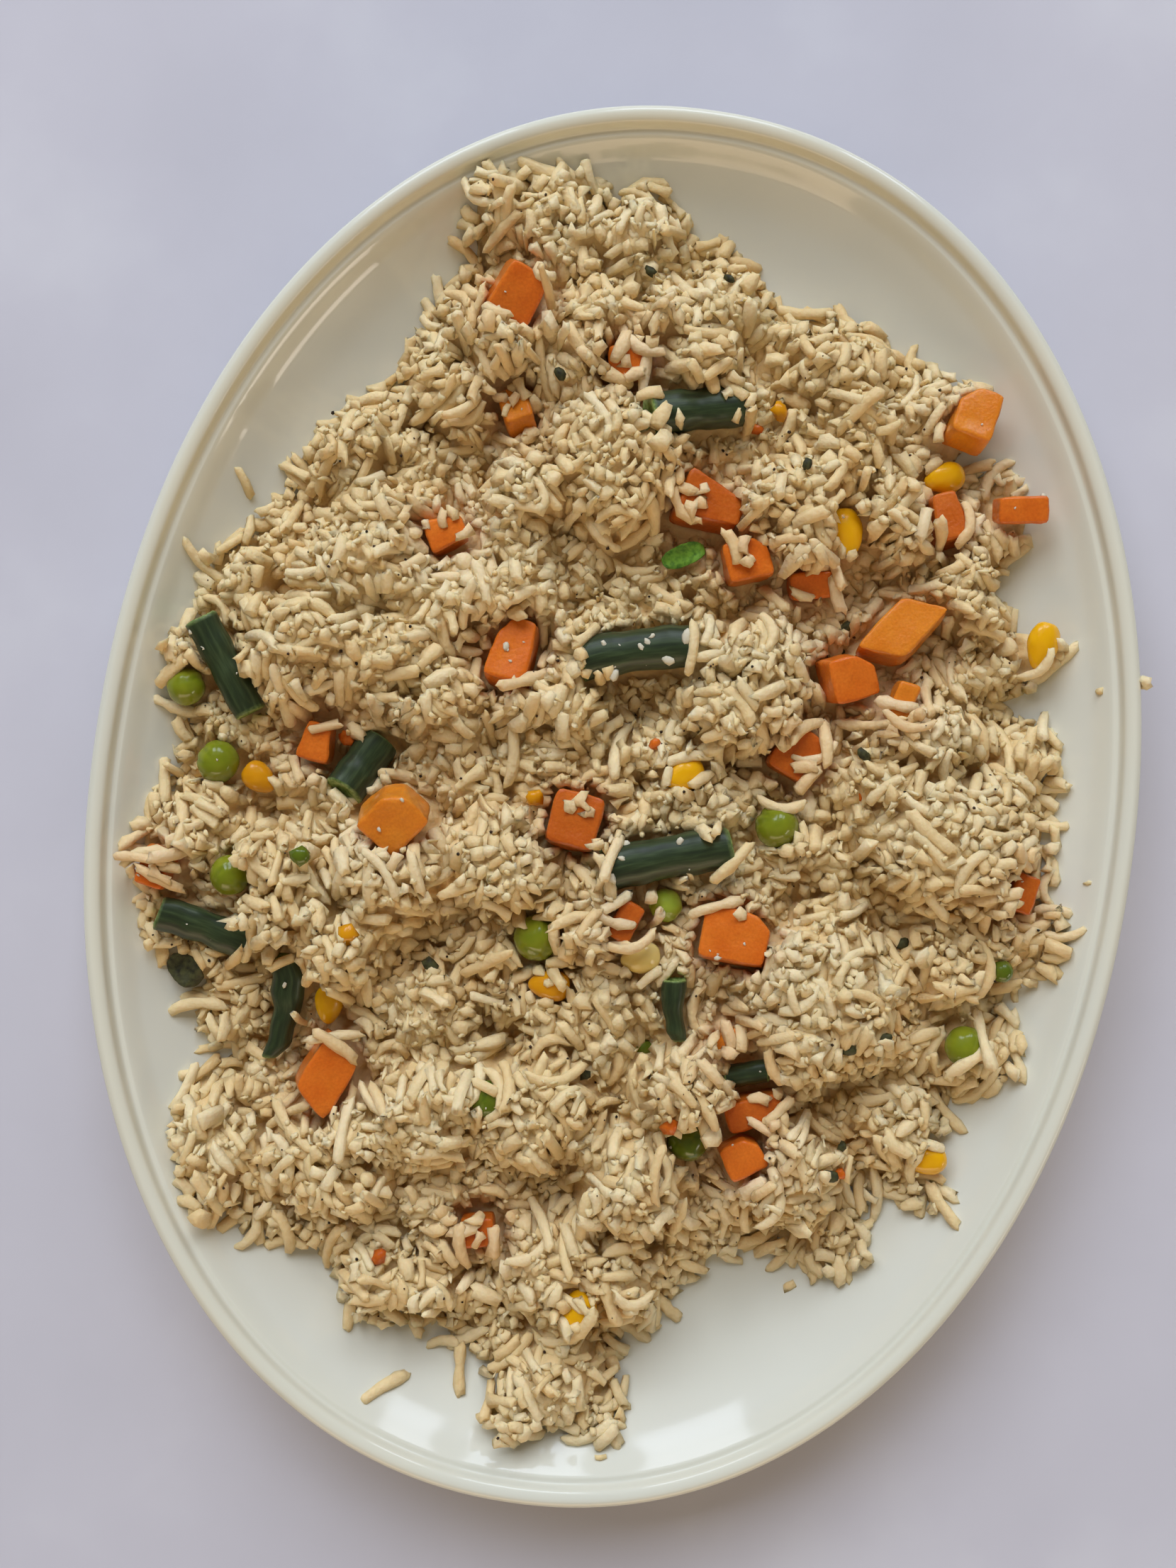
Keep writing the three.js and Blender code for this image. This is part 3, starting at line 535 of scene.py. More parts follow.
crumbliness = np.clip(0.5 + 0.45 * (lumps(3, CLUMP_SIZE) + 0.4 * lumps(9, CLUMP_SIZE / 2)), 0, 1)
clump_crest = np.abs(lumps(8, CLUMP_SIZE))
evened = heap_evened(EVENED_OVER)
swells = np.clip(SWELL_GAIN * (evened - heap_evened(SWELL_SIZE / 3)), -3.5, 2.5)
pits = PIT_DEPTH * np.clip(lumps(5, PIT_SIZE) - 1.2, 0, 1)
rice_face = evened + swells + CLUMP_HEIGHT * ridges(8, CLUMP_SIZE) + KNOB_HEIGHT * ridges(4, KNOB_SIZE) - pits
rice_face = np.where(in_heap, rice_face, platter_top + 2.6)
over_vegetable = np.where(~kept_clear & on_vegetable, vegetable_top + 1.4, -np.inf)
rice_face = np.minimum(np.maximum(rice_face, over_vegetable), HIGHEST)
crest_level = np.minimum(evened + 2.0, HIGHEST)

floor_of_heap = np.maximum(np.where(in_heap, evened - MASS_DEPTH, platter_top), platter_top)
food_top = np.where(on_vegetable, vegetable_top, floor_of_heap)


# ---- Laying grains ----

covered = np.zeros(every_x.shape, bool)  # cells that already have a separate grain over them

FEELERS = np.linspace(-1, 1, 9)
LEFT, MIDDLE, RIGHT = slice(0, 4), 4, slice(5, 9)


def thickness_along(place, blunt):
    """Share of a grain's thickness at a place between its ends, -1 and 1."""
    return np.sqrt(np.maximum(1 - np.abs(place) ** blunt, 0))


def rest_on_food(x, y, heading, reach, radius, blunt):
    """Drops a rod on the food: the height of its middle, its slope, and the slack under its ends."""
    run = FEELERS * reach
    ahead, aside = math.cos(heading), math.sin(heading)
    thick = radius * thickness_along(FEELERS * 0.97, blunt)
    under = np.full(FEELERS.shape, -1e3)
    for across, share in ((0.0, 1.0), (0.6, 0.8), (-0.6, 0.8)):
        offset = across * radius
        row, column = cell_of(x + run * ahead - offset * aside, y + run * aside + offset * ahead)
        under = np.maximum(under, food_top[row, column] + share * thick)
    left, right = under[LEFT], under[RIGHT]
    left_run, right_run = run[LEFT], run[RIGHT]
    bridges = (left[:, None] * right_run - right * left_run[:, None]) / (right_run - left_run[:, None])
    middle = max(bridges.max(), under[MIDDLE])
    lowest = ((right - middle) / right_run).max()
    highest = ((middle - left) / -left_run).min()
    slope = min(max(0.0, lowest), highest)
    slack = min(middle - slope * reach - under[0], middle + slope * reach - under[-1])
    return middle - GRAIN_SINK * radius, slope, max(slack, 0.0)


def raise_food(x, y, heading, reach, radius, blunt, bend, middle, slope, droop):
    """Adds a grain that has been laid to the heights."""
    wide = reach + radius + abs(bend)
    first_row, first_column = cell_of(x - wide, y - wide)
    last_row, last_column = cell_of(x + wide, y + wide)
    part = (slice(first_row, last_row + 1), slice(first_column, last_column + 1))
    dx, dy = every_x[part] - x, every_y[part] - y
    ahead, aside = math.cos(heading), math.sin(heading)
    share = (dx * ahead + dy * aside) / reach
    across = dy * ahead - dx * aside - bend * (share**2 - 0.33)
    thick = radius * thickness_along(np.clip(share, -1, 1), blunt)
    back = thick**2 - across**2
    crest = middle + slope * share * reach - droop * share**2 + np.sqrt(np.maximum(back, 0))
    under_grain = (back > 0) & (np.abs(share) < 1)
    food_top[part] = np.where(under_grain, np.maximum(food_top[part], crest), food_top[part])
    covered[part] |= under_grain


# Least and largest length, radius, bend and bluntness of each kind of grain, and how many are laid at most.
GRAIN_KINDS = {
    "long": dict(length=(7.5, 12.5), radius=(1.05, 1.32), bend=(0.0, 0.9), blunt=(8.0, 16.0), most=1480),
    "curved": dict(length=(8.0, 13.0), radius=(1.0, 1.25), bend=(1.0, 2.6), blunt=(8.0, 16.0), most=1480),
    "broken": dict(length=(3.6, 7.6), radius=(1.0, 1.35), bend=(0.0, 0.6), blunt=(8.0, 18.0), most=2750),
    "bit": dict(length=(2.0, 4.0), radius=(0.9, 1.45), bend=(0.0, 0.2), blunt=(8.0, 18.0), most=4600),
    "crumb": dict(length=(0.8, 2.0), radius=(0.35, 0.8), bend=(0.0, 0.1), blunt=(3.0, 8.0), most=2000),
}


def lay_grain(kind, x, y, draws, room=None, heading=None, length=None):
    """Lays one grain if there is room for it, and returns its form."""
    facts = GRAIN_KINDS[kind]
    pick = lambda name: facts[name][0] + (facts[name][1] - facts[name][0]) * draws.random()
    length = length or pick("length")
    radius = pick("radius")
    bend = pick("bend") * draws.choice((-1, 1))
    blunt = pick("blunt")
    turn = draws.random() * 2 * math.pi
    heading = turn if heading is None else heading
    reach = length / 2
    row, column = cell_of(x, y)
    limited = room is not None
    if limited and food_top[row, column] + radius > rice_face[row, column] + room:
        return None
    run = FEELERS * reach
    rows, columns = cell_of(x + run * math.cos(heading), y + run * math.sin(heading))
    if limited and kept_clear[rows, columns].any():
        return None
    middle, slope, slack = rest_on_food(x, y, heading, reach, radius, blunt)
    rise = abs(slope) * reach
    if limited:
        too_high = middle + radius > rice_face[row, column] + room + 0.6
        if too_high or middle + radius + rise > HIGHEST + 0.2 or rise > MOST_RISE:
            return None
    droop = min(0.55 * slack, 0.12 * length)
    raise_food(x, y, heading, reach, radius, blunt, bend, middle, slope, droop)
    # How deep the grain lies below the crest level; its tone is darkened by this as painted shade.
    depth = max(crest_level[row, column] - middle - radius, 0.0)
    return (x, y, middle, heading, slope, reach, radius, bend, blunt, droop, depth)


def lay_many(laid, where, draws, tries, short, bits, room, most):
    """Lays grains at random cells of where.

    short is the share of short grains where the rice is loose and where it is crumbly, bits the share of bits
    among these, and room the least and largest height above the rice's face that a grain may come up to.
    """
    rows, columns = np.nonzero(where)
    picks = draws.integers(0, len(rows), tries)
    shake = draws.random((tries, 2)) - 0.5
    chance = draws.random((tries, 3))
    count = 0
    for pick, (sx, sy), (first, second, third) in zip(picks, shake, chance):
        row, column = rows[pick], columns[pick]
        if first < short[0] + (short[1] - short[0]) * crumbliness[row, column]:
            kind = "bit" if second < bits else "broken"
        else:
            kind = "long" if second < 0.5 else "curved"
        if len(laid[kind]) >= GRAIN_KINDS[kind]["most"] or count >= most:
            continue
        limit = room[0] + (room[1] - room[0]) * third
        grain = lay_grain(kind, grid_x[column] + sx * CELL, grid_y[row] + sy * CELL, draws, limit)
        if grain:
            laid[kind].append(grain)
            count += 1


def tube_faces(rings, sides):
    """Faces of a tube of rings of points, and those that close it at a point before and a point behind."""
    index = np.arange(rings * sides).reshape(rings, sides)
    after = np.roll(index, -1, axis=1)
    quads = np.stack([index[:-1], after[:-1], after[1:], index[1:]], -1).reshape(-1, 4)
    near = np.full(sides, rings * sides)
    caps = np.concatenate([
        np.stack([near, after[0], index[0]], -1),
        np.stack([near + 1, index[-1], after[-1]], -1),
    ])
    return quads, caps


def grain_points(grains, sides, rings, rough, draws):
    """Points and faces of grains joined in one mesh, ring by ring from tip to tip."""
    table = np.array(grains)
    x, y, middle, heading, slope, reach, radius, bend, blunt, droop, _ = (
        table[:, i, None, None] for i in range(11)
    )
    count = len(table)
    share = np.concatenate([[-1.0], rings, [1.0]])[None, :, None]
    turn = np.linspace(0, 2 * math.pi, sides, endpoint=False)[None, None, :]
    turn = turn + draws.random((count, 1, 1)) * 2
    swell = 1 + rough * draws.standard_normal((count, share.shape[1], 1))
    at_end = np.abs(share) > 0.9
    dents = 1 + rough * np.where(at_end, 2.2, 1.0) * draws.standard_normal((count, share.shape[1], sides))
    thick = radius * thickness_along(share, blunt) * swell * dents
    flat = 0.84 + 0.16 * draws.random((count, 1, 1))
    across = thick * np.cos(turn) + bend * (share**2 - 0.33)
    above = thick * np.sin(turn) * flat
    broken_off = radius * draws.uniform(-0.7, 0.7, (count, share.shape[1], 1))
    run = share * reach + np.where(at_end, broken_off * np.cos(turn), 0)
    run = run - np.sign(share) * 0.1 * radius * at_end
    ahead, aside, tilt = np.cos(heading), np.sin(heading), np.arctan(slope)
    back = above * np.sin(tilt)
    px = x + run * ahead - across * aside - back * ahead
    py = y + run * aside + across * ahead - back * aside
    pz = middle + run * slope - droop * share**2 + above * np.cos(tilt)
    rounds = np.stack(np.broadcast_arrays(px, py, pz), -1)
    tips = rounds[:, [0, -1]].mean(axis=2)
    body = rounds[:, 1:-1].reshape(count, -1, 3)
    points = np.concatenate([body, tips], axis=1)
    quads, caps = tube_faces(len(rings), sides)
    step = points.shape[1] * np.arange(count)[:, None, None]
    faces = (quads + step).reshape(-1, 4).tolist() + (caps + step).reshape(-1, 3).tolist()
    return points.reshape(-1, 3), faces, points.shape[1]


def stain_at(x, y):
    """How much colour the carrots have given the rice at each place."""
    stain = np.zeros(np.shape(x))
    for node in carrot_nodes:
        cx, cy, _ = middle_of(node)
        stain = np.maximum(stain, np.exp(-(((x - cx) ** 2 + (y - cy) ** 2) / 70.0)))
    return stain


patchiness = lumps(11, 10.0)  # some clumps have soaked up more of the stock than others

RINGS_LONG = np.array([-0.985, -0.86, -0.54, -0.18, 0.18, 0.54, 0.86, 0.985])
RINGS_SHORT = np.array([-0.97, -0.82, 0.0, 0.82, 0.97])
RINGS_BIT = np.array([-0.93, -0.1, 0.9])


def make_grains(name, grains, sides, rings, rough, material, seed, whiter=0.0):
    """Joins grains in one piece; those that lie deeper are darkened as painted shade, and those in soaked
    clumps are darker.
    """
    draws = np.random.default_rng(seed)
    points, faces, each = grain_points(grains, sides, rings, rough, draws)
    table = np.array(grains)
    # Painted shade: the tone drops the deeper a grain lies below the crest level.
    tone_and_shade = 0.73 + whiter + 0.1 * draws.standard_normal(len(table)) - 0.022 * np.minimum(table[:, 10], 7)
    tone_and_shade += 0.05 * patchiness[cell_of(table[:, 0], table[:, 1])]
    stain = 0.25 * stain_at(table[:, 0], table[:, 1]) * (0.4 + 0.6 * draws.random(len(table)))
    attributes = {
        "tone_and_shade": np.repeat(np.clip(tone_and_shade, 0, 0.9), each),
        "stain": np.repeat(np.clip(stain, 0, 1), each),
    }
    make_piece(name, points, faces, material, attributes)


def sampled(values, x, y):
    """The grid's values at places between its cells."""
    column = np.clip((x + X_REACH) / CELL, 0, len(grid_x) - 1.001)
    row = np.clip((y + Y_REACH) / CELL, 0, len(grid_y) - 1.001)
    c, r = column.astype(int), row.astype(int)
    u, v = column - c, row - r
    near = values[r, c] * (1 - u) + values[r, c + 1] * u
    far = values[r + 1, c] * (1 - u) + values[r + 1, c + 1] * u
    return near * (1 - v) + far * v


def no_steeper(heights, slope):
    """Heights lowered until they rise no faster than slope, looked at over STEEP_STEPS cells."""
    for _ in range(STEEP_STEPS):
        for axis in (0, 1):
            for way in (1, -1):
                heights = np.minimum(heights, np.roll(heights, way, axis) + slope * CELL)
    return heights


def mass_heights():
    """The mass's face: just below the backs of the grains, deeper in creases and beside vegetables."""
    beside = smoothed(kept_clear.astype(float), 0.7) > 0.03
    sink = STARCH_SINK[0] + (STARCH_SINK[1] - STARCH_SINK[0]) * (1 - crumbliness)
    sink += CREASE_DEPTH * np.clip(1 - clump_crest / CREASE_WIDTH, 0, 1)
    face = smoothed(np.where(in_heap, food_top, platter_top), STARCH_SPREAD) - sink
    low_face = np.where(in_heap, heap_top, platter_top) - MASS_COVER
    face = np.where(beside | on_vegetable, np.minimum(face, low_face), face)
    return no_steeper(face, STEEPEST) + 0.12 * lumps(6, 1.6) + 0.2 * lumps(7, 2.8)


def make_mass(face, material):
    """The sticky mass of rice under the separate grains, with starch that fills the gaps between them."""
    x, y = np.meshgrid(np.arange(-X_REACH, X_REACH, MASS_CELL), np.arange(-Y_REACH, Y_REACH, MASS_CELL))
    inside = in_heap[cell_of(x, y)]
    solid = inside[:-1, :-1] & inside[1:, :-1] & inside[:-1, 1:] & inside[1:, 1:]
    used = np.zeros(inside.shape, bool)
    for down in (0, 1):
        for right in (0, 1):
            used[down : down + solid.shape[0], right : right + solid.shape[1]] |= solid
    order = np.full(x.shape, -1)
    order[used] = np.arange(used.sum())
    base = sampled(platter_top, x, y) + UNDER_GAP
    height = np.maximum(sampled(face, x, y), base + THINNEST)
    upper = np.stack([x[used], y[used], height[used]], -1)
    rows, columns = np.nonzero(solid)
    corners = [order[rows + down, columns + right] for down, right in ((0, 0), (0, 1), (1, 1), (1, 0))]
    faces = np.stack(corners, -1).tolist()
    edges = set()
    for start, stop in zip(corners, corners[1:] + corners[:1]):
        for pair in zip(start.tolist(), stop.tolist()):
            if pair[::-1] in edges:
                edges.remove(pair[::-1])
            else:
                edges.add(pair)
    rim = sorted({p for edge in edges for p in edge})
    place_in_rim = {p: i for i, p in enumerate(rim)}
    stages = []
    for share in UNDER_STAGES:
        foot_x, foot_y = share * upper[rim, 0], share * upper[rim, 1]
        stages.append(np.stack([foot_x, foot_y, sampled(platter_top, foot_x, foot_y) + UNDER_GAP], -1))
    middle = len(upper) + len(stages) * len(rim)
    for above_p, above_q in sorted(edges):
        in_rim = place_in_rim[above_p], place_in_rim[above_q]
        for stage in range(len(stages)):
            below_p, below_q = (len(upper) + stage * len(rim) + place for place in in_rim)
            faces.append([above_q, above_p, below_p, below_q])
            above_p, above_q = below_p, below_q
        faces.append([above_q, above_p, middle])
    points = np.concatenate([upper, *stages, [[0, 0, stages[-1][:, 2].min()]]])
    # Painted shade: the mass's face gets a darker tone the deeper it lies below the crest level; its sides
    # down to the platter get a fixed tone of 0.3.
    depth = np.where(in_heap, crest_level, 0) - face
    tone_and_shade = np.full(len(points), 0.3)
    tone_and_shade[: len(upper)] = np.clip(0.6 - 0.035 * sampled(depth, x, y)[used], 0.02, 0.8)
    attributes = {"tone_and_shade": tone_and_shade, "stain": 0.2 * stain_at(points[:, 0], points[:, 1])}
    make_piece("rice_mass", points, faces, material, attributes, "rice_heap")


# ---- The vegetables ----


def refined(node, levels, smoothness, soften=0):
    """A finer copy of a node's solid: points in millimetres, normals and faces."""
    work = bmesh.new()
    work.from_mesh(frame["nodes"][node].data)
    bmesh.ops.remove_doubles(work, verts=work.verts, dist=3e-6)
    mesh = bpy.data.meshes.new(node)
    work.to_mesh(mesh)
    work.free()
    piece = bpy.data.objects.new(node, mesh)
    bpy.context.scene.collection.objects.link(piece)
    finer = piece.modifiers.new("finer", "SUBSURF")
    finer.subdivision_type = smoothness
    finer.levels = finer.render_levels = levels
    if soften:
        softer = piece.modifiers.new("softer", "SMOOTH")
        softer.factor = 0.5
        softer.iterations = soften
    shape = bpy.data.meshes.new_from_object(piece.evaluated_get(bpy.context.evaluated_depsgraph_get()))
    bpy.data.objects.remove(piece)
    points = np.empty(len(shape.vertices) * 3)
    shape.vertices.foreach_get("co", points)
    points = points.reshape(-1, 3) / MM
    normals = np.empty(len(shape.vertices) * 3)
    shape.vertex_normals.foreach_get("vector", normals)
    faces = [list(polygon.vertices) for polygon in shape.polygons]
    bpy.data.meshes.remove(mesh)
    bpy.data.meshes.remove(shape)
    return points, normals.reshape(-1, 3), faces


def swell_at(points, size, seed):
    """Soft random values between about -1 and 1 at each point."""
    shift = Vector((seed * 7.3, seed * 3.1, seed))
    return np.array([noise.noise(Vector(point) / size + shift) for point in points])


def make_carrot(node, seed, material, slot):
    """A die of carrot: its facets are cut flat and dry a little hollow, and its edges have gone soft."""
    points, normals, faces = refined(node, 3, "SIMPLE", soften=8)
    reach = np.linalg.norm(points - points.mean(0), axis=1)
    hollow = 0.16 * (reach.max() - reach) / reach.max()
    move = 0.3 * swell_at(points, 4.5, seed) + 0.13 * swell_at(points, 1.3, seed + 0.5) - hollow
    make_piece(f"{node}_die", points + normals * move[:, None], faces, material, instead_of=node)


def make_kernel(node, seed, material, slot):
    """A corn kernel, a little uneven and swollen by boiling."""
    points, normals, faces = refined(node, 2, "CATMULL_CLARK")
    centre = points.mean(0)
    points = centre + (points - centre) * 1.07
    points += normals * (0.14 * swell_at(points, 2.6, seed))[:, None]
    make_piece(f"{node}_kernel", points, faces, material, instead_of=node)


def make_pea(node, seed, material, slot):
    """A pea whose skin has a few folds where it has shrunk."""
    points, _, faces = refined(node, 2, "CATMULL_CLARK")
    centre = points.mean(0)
    out = points - centre
    facing = out / np.linalg.norm(out, axis=1)[:, None]
    draws = np.random.default_rng(seed)
    fold = np.zeros(len(points))
    for _ in range(3):
        axis = draws.standard_normal(3)
        axis /= np.linalg.norm(axis)
        side = draws.standard_normal(3)
        side -= axis * side.dot(axis)
        side /= np.linalg.norm(side)
        bow = facing @ axis - 0.35 * np.sin(2.2 * (facing @ side))
        here = np.exp(-((bow / 0.09) ** 2)) * np.clip(facing @ side, 0, 1)
        fold = np.maximum(fold, here)
    size = 1.05 + 0.03 * swell_at(facing * 2.0, 1.0, seed) - 0.055 * fold
    points = centre + out * size[:, None]
    # The folds are stored so the skin's colour can be darkened in them as painted shade.
    make_piece(f"{node}_skin", points, faces, material, {"crease_shade": np.clip(fold, 0, 1)}, node)


def long_axes(node):
    """A long node's points, their middle, and its long, side and upward directions."""
    points = np.array([v.co for v in frame["nodes"][node].data.vertices]) / MM
    points = np.unique(np.round(points, 3), axis=0)
    middle = points.mean(0)
    spread = np.linalg.svd(points - middle, full_matrices=False)[2]
    along = spread[0] * (1 if spread[0][0] + 0.3 * spread[0][1] > 0 else -1)
    side = np.cross((0, 0, 1), along)
    side /= np.linalg.norm(side)
    return points, middle, along, side, np.cross(along, side)


POD_RINGS = 22
POD_SIDES = 22
POD_STATIONS = 7  # places where the solid's section is measured
# Rings of a cut end from its middle outwards: share of the radius, how far sunk, how pale, how ragged.
CUT_END = ((0.15, 0.7, 1.0, 0.0), (0.4, 0.45, 1.0, 0.1), (0.72, 0.1, 1.0, 0.15), (0.9, 0.0, 0.9, 0.15))
CUT_EDGE = (1.0, 0.0, 0.35, 0.1)
POD_WALL = (1.0, 0.0, 0.0, 0.0)


def make_bean(node, seed, material, slot):
    """A length of pod along its solid: a skin with a seam, and at each cut pale flesh with a dimple."""
    solid, middle, along, side, up = long_axes(node)
    run = (solid - middle) @ along
    low, high = run.min(), run.max()
    slices = np.linspace(low, high, POD_STATIONS)
    stations = []
    for station in slices:
        ring = solid[np.abs(run - station) < (high - low) / POD_STATIONS] - middle
        spans = [(across.min(), across.max()) for across in (ring @ side, ring @ up)]
        stations.append([(a + b) / 2 for a, b in spans] + [(b - a) / 2 for a, b in spans])
    stations = np.array(stations)
    places = np.linspace(low, high, POD_RINGS)
    shape = [np.interp(places, slices, stations[:, i]) for i in range(4)]
    turn = np.linspace(0, 2 * math.pi, POD_SIDES, endpoint=False)
    draws = np.random.default_rng(seed)
    slant = draws.uniform(-0.5, 0.5, 2)
    seam = 1 - 0.05 * np.exp(-(((turn - 1.2) / 0.25) ** 2)) + 0.025 * np.cos(3 * turn + seed)
    rows = []
    cut = []
    pod = []

    def add_ring(place, share, sunk, cutness, jag):
        side_at, up_at, half_side, half_up = (np.interp(place, places, values) for values in shape)
        bumps = 1 + 0.025 * math.sin(place * 1.1 + seed)
        across = side_at + half_side * share * seam * bumps * np.cos(turn)
        above = up_at + half_up * share * seam * bumps * np.sin(turn)
        end = 1 if place > (low + high) / 2 else -1
        lean = slant[0 if end < 0 else 1] * np.sin(turn + seed) * share * half_side * 0.35
        near_end = max(0.0, 1 - (min(place - low, high - place)) / 3.0)
        rough = jag * draws.uniform(-1, 1, POD_SIDES)
        run_at = np.clip(place - end * sunk + (lean + rough) * near_end, low, high)
        rows.append(middle + run_at[:, None] * along + across[:, None] * side + above[:, None] * up)
        cut.append(np.full(POD_SIDES, cutness))
        round_at = np.full(POD_SIDES, place), half_side * np.cos(turn), half_side * np.sin(turn)
        pod.append(np.stack(round_at, -1))

    for ring in CUT_END:
        add_ring(low, *ring)
    add_ring(low + 0.35, *CUT_EDGE)
    for place in places[1:-1]:
        add_ring(place, *POD_WALL)
    add_ring(high - 0.35, *CUT_EDGE)
    for ring in reversed(CUT_END):
        add_ring(high, *ring)
    count = len(rows)
    faces = tube_faces(count, POD_SIDES)[0].tolist()
    first = list(range(POD_SIDES))
    faces += [first[::-1], [corner + (count - 1) * POD_SIDES for corner in first]]
    attributes = {"cut": np.concatenate(cut)}
    piece = make_piece(f"{node}_pod", np.concatenate(rows), faces, material, attributes, node)
    layer = piece.data.attributes.new("pod", "FLOAT_VECTOR", "POINT")
    layer.data.foreach_set("vector", (np.concatenate(pod) * MM).ravel())


def make_leaf(node, seed, material, slot):
    """A limp leaf that has crumpled a little in the rice."""
    points, normals, faces = refined(node, 2, "CATMULL_CLARK")
    points += normals * (0.12 * swell_at(points, 1.0, seed))[:, None]
    points[:, 2] += 0.5 * swell_at(points, 2.4, seed + 2)
    make_piece(f"{node}_blade", points, faces, material, instead_of=node)


# ---- Small extras that lie on the rice ----


def chunk(centre, size, sides, rings, draws, stretch):
    """An uneven lump: points and faces."""
    turn = np.linspace(0, 2 * math.pi, sides, endpoint=False)
    spin = draws.random() * math.pi
    rows = []
    for lift in np.linspace(-math.pi / 2, math.pi / 2, rings + 2)[1:-1]:
        wide = math.cos(lift) * (1 + 0.18 * draws.standard_normal(sides))
        x = wide * np.cos(turn) * stretch[0]
        y = wide * np.sin(turn) * stretch[1]
        turned_x = x * math.cos(spin) - y * math.sin(spin)
        turned_y = x * math.sin(spin) + y * math.cos(spin)
        rows.append(np.stack([turned_x, turned_y, np.full(sides, math.sin(lift) * stretch[2])], -1))
    points = np.concatenate(rows + [[[0, 0, -stretch[2]], [0, 0, stretch[2]]]]) * size + centre
    quads, caps = tube_faces(rings, sides)
    return points, quads.tolist() + caps.tolist()


def make_chunks(name, spots, material, seed, sides, rings, stretch=(1, 1, 0.7), sink=0.2):
    """Joins small lumps at spots (x, y, radius), each lying on what is under it."""
    draws = np.random.default_rng(seed)
    points, faces, total = [], [], 0
    for x, y, radius in spots:
        z = food_top[cell_of(x, y)] + radius * (stretch[2] - sink)
        some_points, some_faces = chunk(np.array((x, y, z)), radius, sides, rings, draws, stretch)
        faces += [[corner + total for corner in face] for face in some_faces]
        points.append(some_points)
        total += len(some_points)
    make_piece(name, np.concatenate(points), faces, material)


def scatter(count, draws, low, high):
    """Random spots on the rice with a radius between low and high."""
    rows, columns = np.nonzero(bare_heap)
    picks = draws.integers(0, len(rows), count)
    size = low + (high - low) * draws.random(count) ** 2
    return [(grid_x[columns[p]], grid_y[rows[p]], s) for p, s in zip(picks, size)]


# ---- Making it ----

make_platter()

rice = boiled_rice()
draws = np.random.default_rng(21)
skirt = (smoothed(in_heap.astype(float), 1.2) > 0.12) & ~kept_clear

# The first grains are pressed together into the mass, and show only where the heap is steep.
pressed = {kind: [] for kind in GRAIN_KINDS}
lay_many(pressed, bare_heap, draws, 34000, (0.3, 0.95), 0.4, (-2.8, -1.6), 9000)
covered[:] = False
rice_face = np.minimum(np.maximum(rice_face, food_top + 0.5), HIGHEST)

# Later ones keep their own form, and the last of them fill what is still bare.
laid = {kind: [] for kind in GRAIN_KINDS}
lay_many(laid, skirt, draws, 24000, (0.1, 0.7), 0.3, (-1.4, 0.1), 3400)
lay_many(laid, skirt, draws, 30000, (0.3, 0.9), 0.4, (-0.6, 0.9), 4000)
for least in (0.3, 0.8, 1.4, 2.0):
    bare = skirt & ~covered & ~on_vegetable
    lay_many(laid, bare, draws, 8000, (0.9, 1.0), 0.6, (least, least + 1), 1200)
for x, y, _ in scatter(CRUMB_TRIES, draws, 1, 2):
    crumb = lay_grain("crumb", x, y, draws, 2.4)
    if crumb:
        laid["crumb"].append(crumb)
for kind, x, y, turned, length in STRAY_GRAINS:
    laid[kind].append(lay_grain(kind, x, y, draws, heading=math.radians(turned), length=length))

mass_face = mass_heights()
make_mass(mass_face, rice)
lower = [
    grain
    for kind in pressed.values()
    for grain in kind
    if grain[2] + 0.5 * grain[6] > mass_face[cell_of(grain[0], grain[1])]
]
make_grains("rice_lower_grains", lower, 6, RINGS_SHORT, 0.13, rice, 36)
make_grains("rice_long_grains", laid["long"], 8, RINGS_LONG, 0.1, rice, 31)
make_grains("rice_curved_grains", laid["curved"], 8, RINGS_LONG, 0.1, rice, 32)
make_grains("rice_broken_grains", laid["broken"], 7, RINGS_SHORT, 0.16, rice, 33, 0.01)
make_grains("rice_bits", laid["bit"], 7, RINGS_BIT, 0.25, rice, 34, 0.02)
make_grains("rice_crumbs", laid["crumb"], 6, RINGS_BIT, 0.24, rice, 35, 0.03)

# The deep and dark finishes are darker copies: partly the vegetables' own range of colour, partly painted
# shade for pieces that lie in shadow.
finish_of = {
    "carrot": boiled_carrot("boiled carrot", "#CE5E10", "#E8842A"),
    "carrot_amber": boiled_carrot("boiled carrot, amber", "#D67414", "#EA9630"),
    "carrot_deep": boiled_carrot("boiled carrot, deep", "#B65212", "#D27224"),
    "corn": sweetcorn("sweetcorn", "#EFB60C", "#E2A40C"),
    "corn_pale": sweetcorn("sweetcorn, pale", "#EAD58A", "#E0BE5A"),
    "corn_deep": sweetcorn("sweetcorn, deep", "#DD9A10", "#CF8A0E"),
    "pea": pea_skin("pea skin", "#8A911F", "#667216"),
    "pea_dark": pea_skin("pea skin, dark", "#69771B", "#4A5C14"),
    "pea_yellow": pea_skin("pea skin, yellow", "#A3AE3C", "#869A2C"),
    "green_bean": bean_pod(),
    "leaf_dark": herb_leaf("herb leaf, dark", "#26241A", "#4A4A2C"),
    "leaf_bright": herb_leaf("herb leaf, bright", "#3E6420", "#6F9A34"),
}
maker_of = {"carrot": make_carrot, "corn": make_kernel, "pea": make_pea, "bean": make_bean, "leaf": make_leaf}
for seed, node in enumerate(vegetable_nodes):
    make = maker_of[node.split("_")[0]]
    make(node, seed, finish_of[slot_of[node]], slot_of[node])

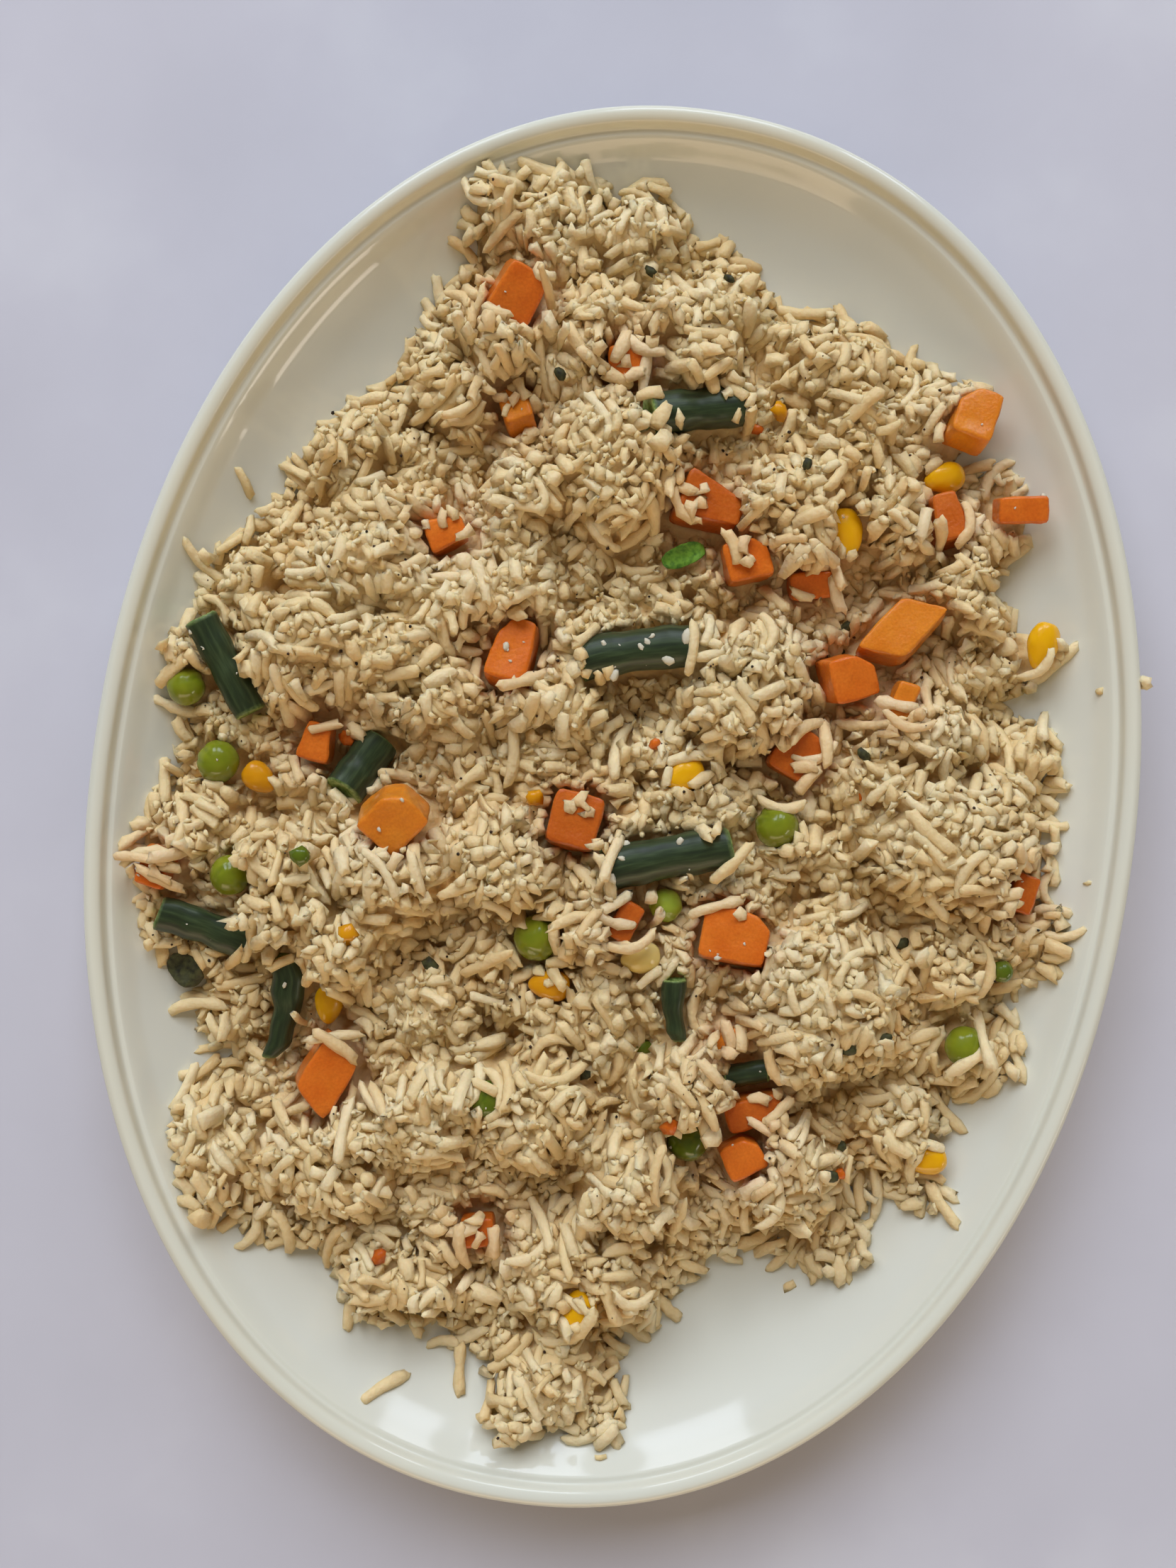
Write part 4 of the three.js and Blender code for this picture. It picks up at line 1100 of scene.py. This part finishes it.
for name, spots, slot, seed, sides, rings, stretch in (
    ("herb_flecks", GREEN_FLECKS, "leaf_dark", 42, 9, 4, (1, 0.7, 0.35)),
    ("corn_scraps", CORN_SCRAPS, "corn_deep", 43, 10, 5, (1, 0.8, 0.6)),
    ("pea_scraps", PEA_SCRAPS, "pea_dark", 44, 10, 5, (1, 0.9, 0.7)),
    ("carrot_scraps", CARROT_SCRAPS, "carrot", 45, 7, 3, (1, 0.8, 0.6)),
    ("deep_scraps", DEEP_SCRAPS, "carrot_deep", 46, 8, 4, (1, 0.7, 0.5)),
):
    make_chunks(name, spots, finish_of[slot], seed, sides, rings, stretch)
rows, columns = np.nonzero(kept_clear & ~covered)
picks = draws.integers(0, len(rows), MORE_FLAKES)
flakes = [(grid_x[columns[p]], grid_y[rows[p]], 0.25 + 0.5 * draws.random() ** 2) for p in picks]
make_chunks("stuck_flakes", STUCK_FLAKES + flakes, starch_flake(), 47, 9, 3, (1, 0.65, 0.3), 0.05)
specks = scatter(PEPPER_SPECKS, draws, 0.16, 0.42)
make_chunks("pepper_specks", specks, ground_pepper(), 41, 5, 2)

# ---- Floor, light and camera ----

FLOOR_SIZE = 3000.0
WINDOW_DISTANCE = 3.0
WINDOW_GLOW = 4.4


def make_floor():
    """A plain board, wide enough to fill every view."""
    half = FLOOR_SIZE / 2 * MM
    mesh = bpy.data.meshes.new("board")
    corners = [(-half, -half, 0), (half, -half, 0), (half, half, 0), (-half, half, 0)]
    mesh.from_pydata(corners, [], [(0, 1, 2, 3)])
    mesh.materials.append(painted_board())
    board = bpy.data.objects.new("board", mesh)
    bpy.context.scene.collection.objects.link(board)


def soft_light(name, heading, rise, distance, size, glow, colour, seen_in_glaze=True):
    """A flat light seen from the platter at a heading from the picture's top, and a rise, in degrees."""
    lamp = bpy.data.lights.new(name, "AREA")
    lamp.shape = "RECTANGLE"
    lamp.size, lamp.size_y = size
    lamp.energy = glow * math.pi * size[0] * size[1]
    lamp.color = linear(colour)[:3]
    light = bpy.data.objects.new(name, lamp)
    bpy.context.scene.collection.objects.link(light)
    turn = math.radians(90 + PICTURE_TURN - heading)
    flat = distance * math.cos(math.radians(rise))
    light.location = (flat * math.cos(turn), flat * math.sin(turn), distance * math.sin(math.radians(rise)))
    light.rotation_euler = (Vector((0, 0, 0.02)) - light.location).to_track_quat("-Z", "Y").to_euler()
    light.visible_glossy = seen_in_glaze


def make_world():
    """The faint light of the rest of the room."""
    world = bpy.data.worlds.new("room")
    bpy.context.scene.world = world
    world.use_nodes = True
    background = world.node_tree.nodes["Background"]
    background.inputs["Color"].default_value = linear("#E9E4DE")
    background.inputs["Strength"].default_value = 0.08


def make_camera():
    """The camera looks straight down, turned as in the picture."""
    camera = bpy.data.cameras.new("camera")
    camera.lens = LENS
    camera.sensor_width = 36.0
    holder = bpy.data.objects.new("camera", camera)
    bpy.context.scene.collection.objects.link(holder)
    holder.location = Vector(CAMERA_PLACE) * MM
    holder.rotation_euler = (0, 0, math.radians(PICTURE_TURN))
    bpy.context.scene.camera = holder


make_floor()
make_world()
make_camera()
for number, (heading, span) in enumerate(((28.5, 9), (7.5, 17), (-22, 17))):
    size = [2 * WINDOW_DISTANCE * math.tan(math.radians(wide / 2)) for wide in (span, 21)]
    soft_light(f"window_pane_{number + 1}", heading, 25.5, WINDOW_DISTANCE, size, WINDOW_GLOW, "#E4EEFF")
soft_light("north_sky", -14, 45, 3.0, (3.0, 1.5), 5.8, "#E4ECFC", seen_in_glaze=False)
soft_light("warm_ceiling", 180, 72, 3.0, (2.6, 2.6), 0.75, "#FFEAD0", seen_in_glaze=False)
soft_light("warm_wall", 180, 18, 3.0, (3.6, 1.2), 2.4, "#FFE0BA")
soft_light("room_glow", 122, 20, 2.4, (0.8, 0.3), 5.0, "#FFF1E0")
bpy.context.scene.view_settings.view_transform = "Standard"
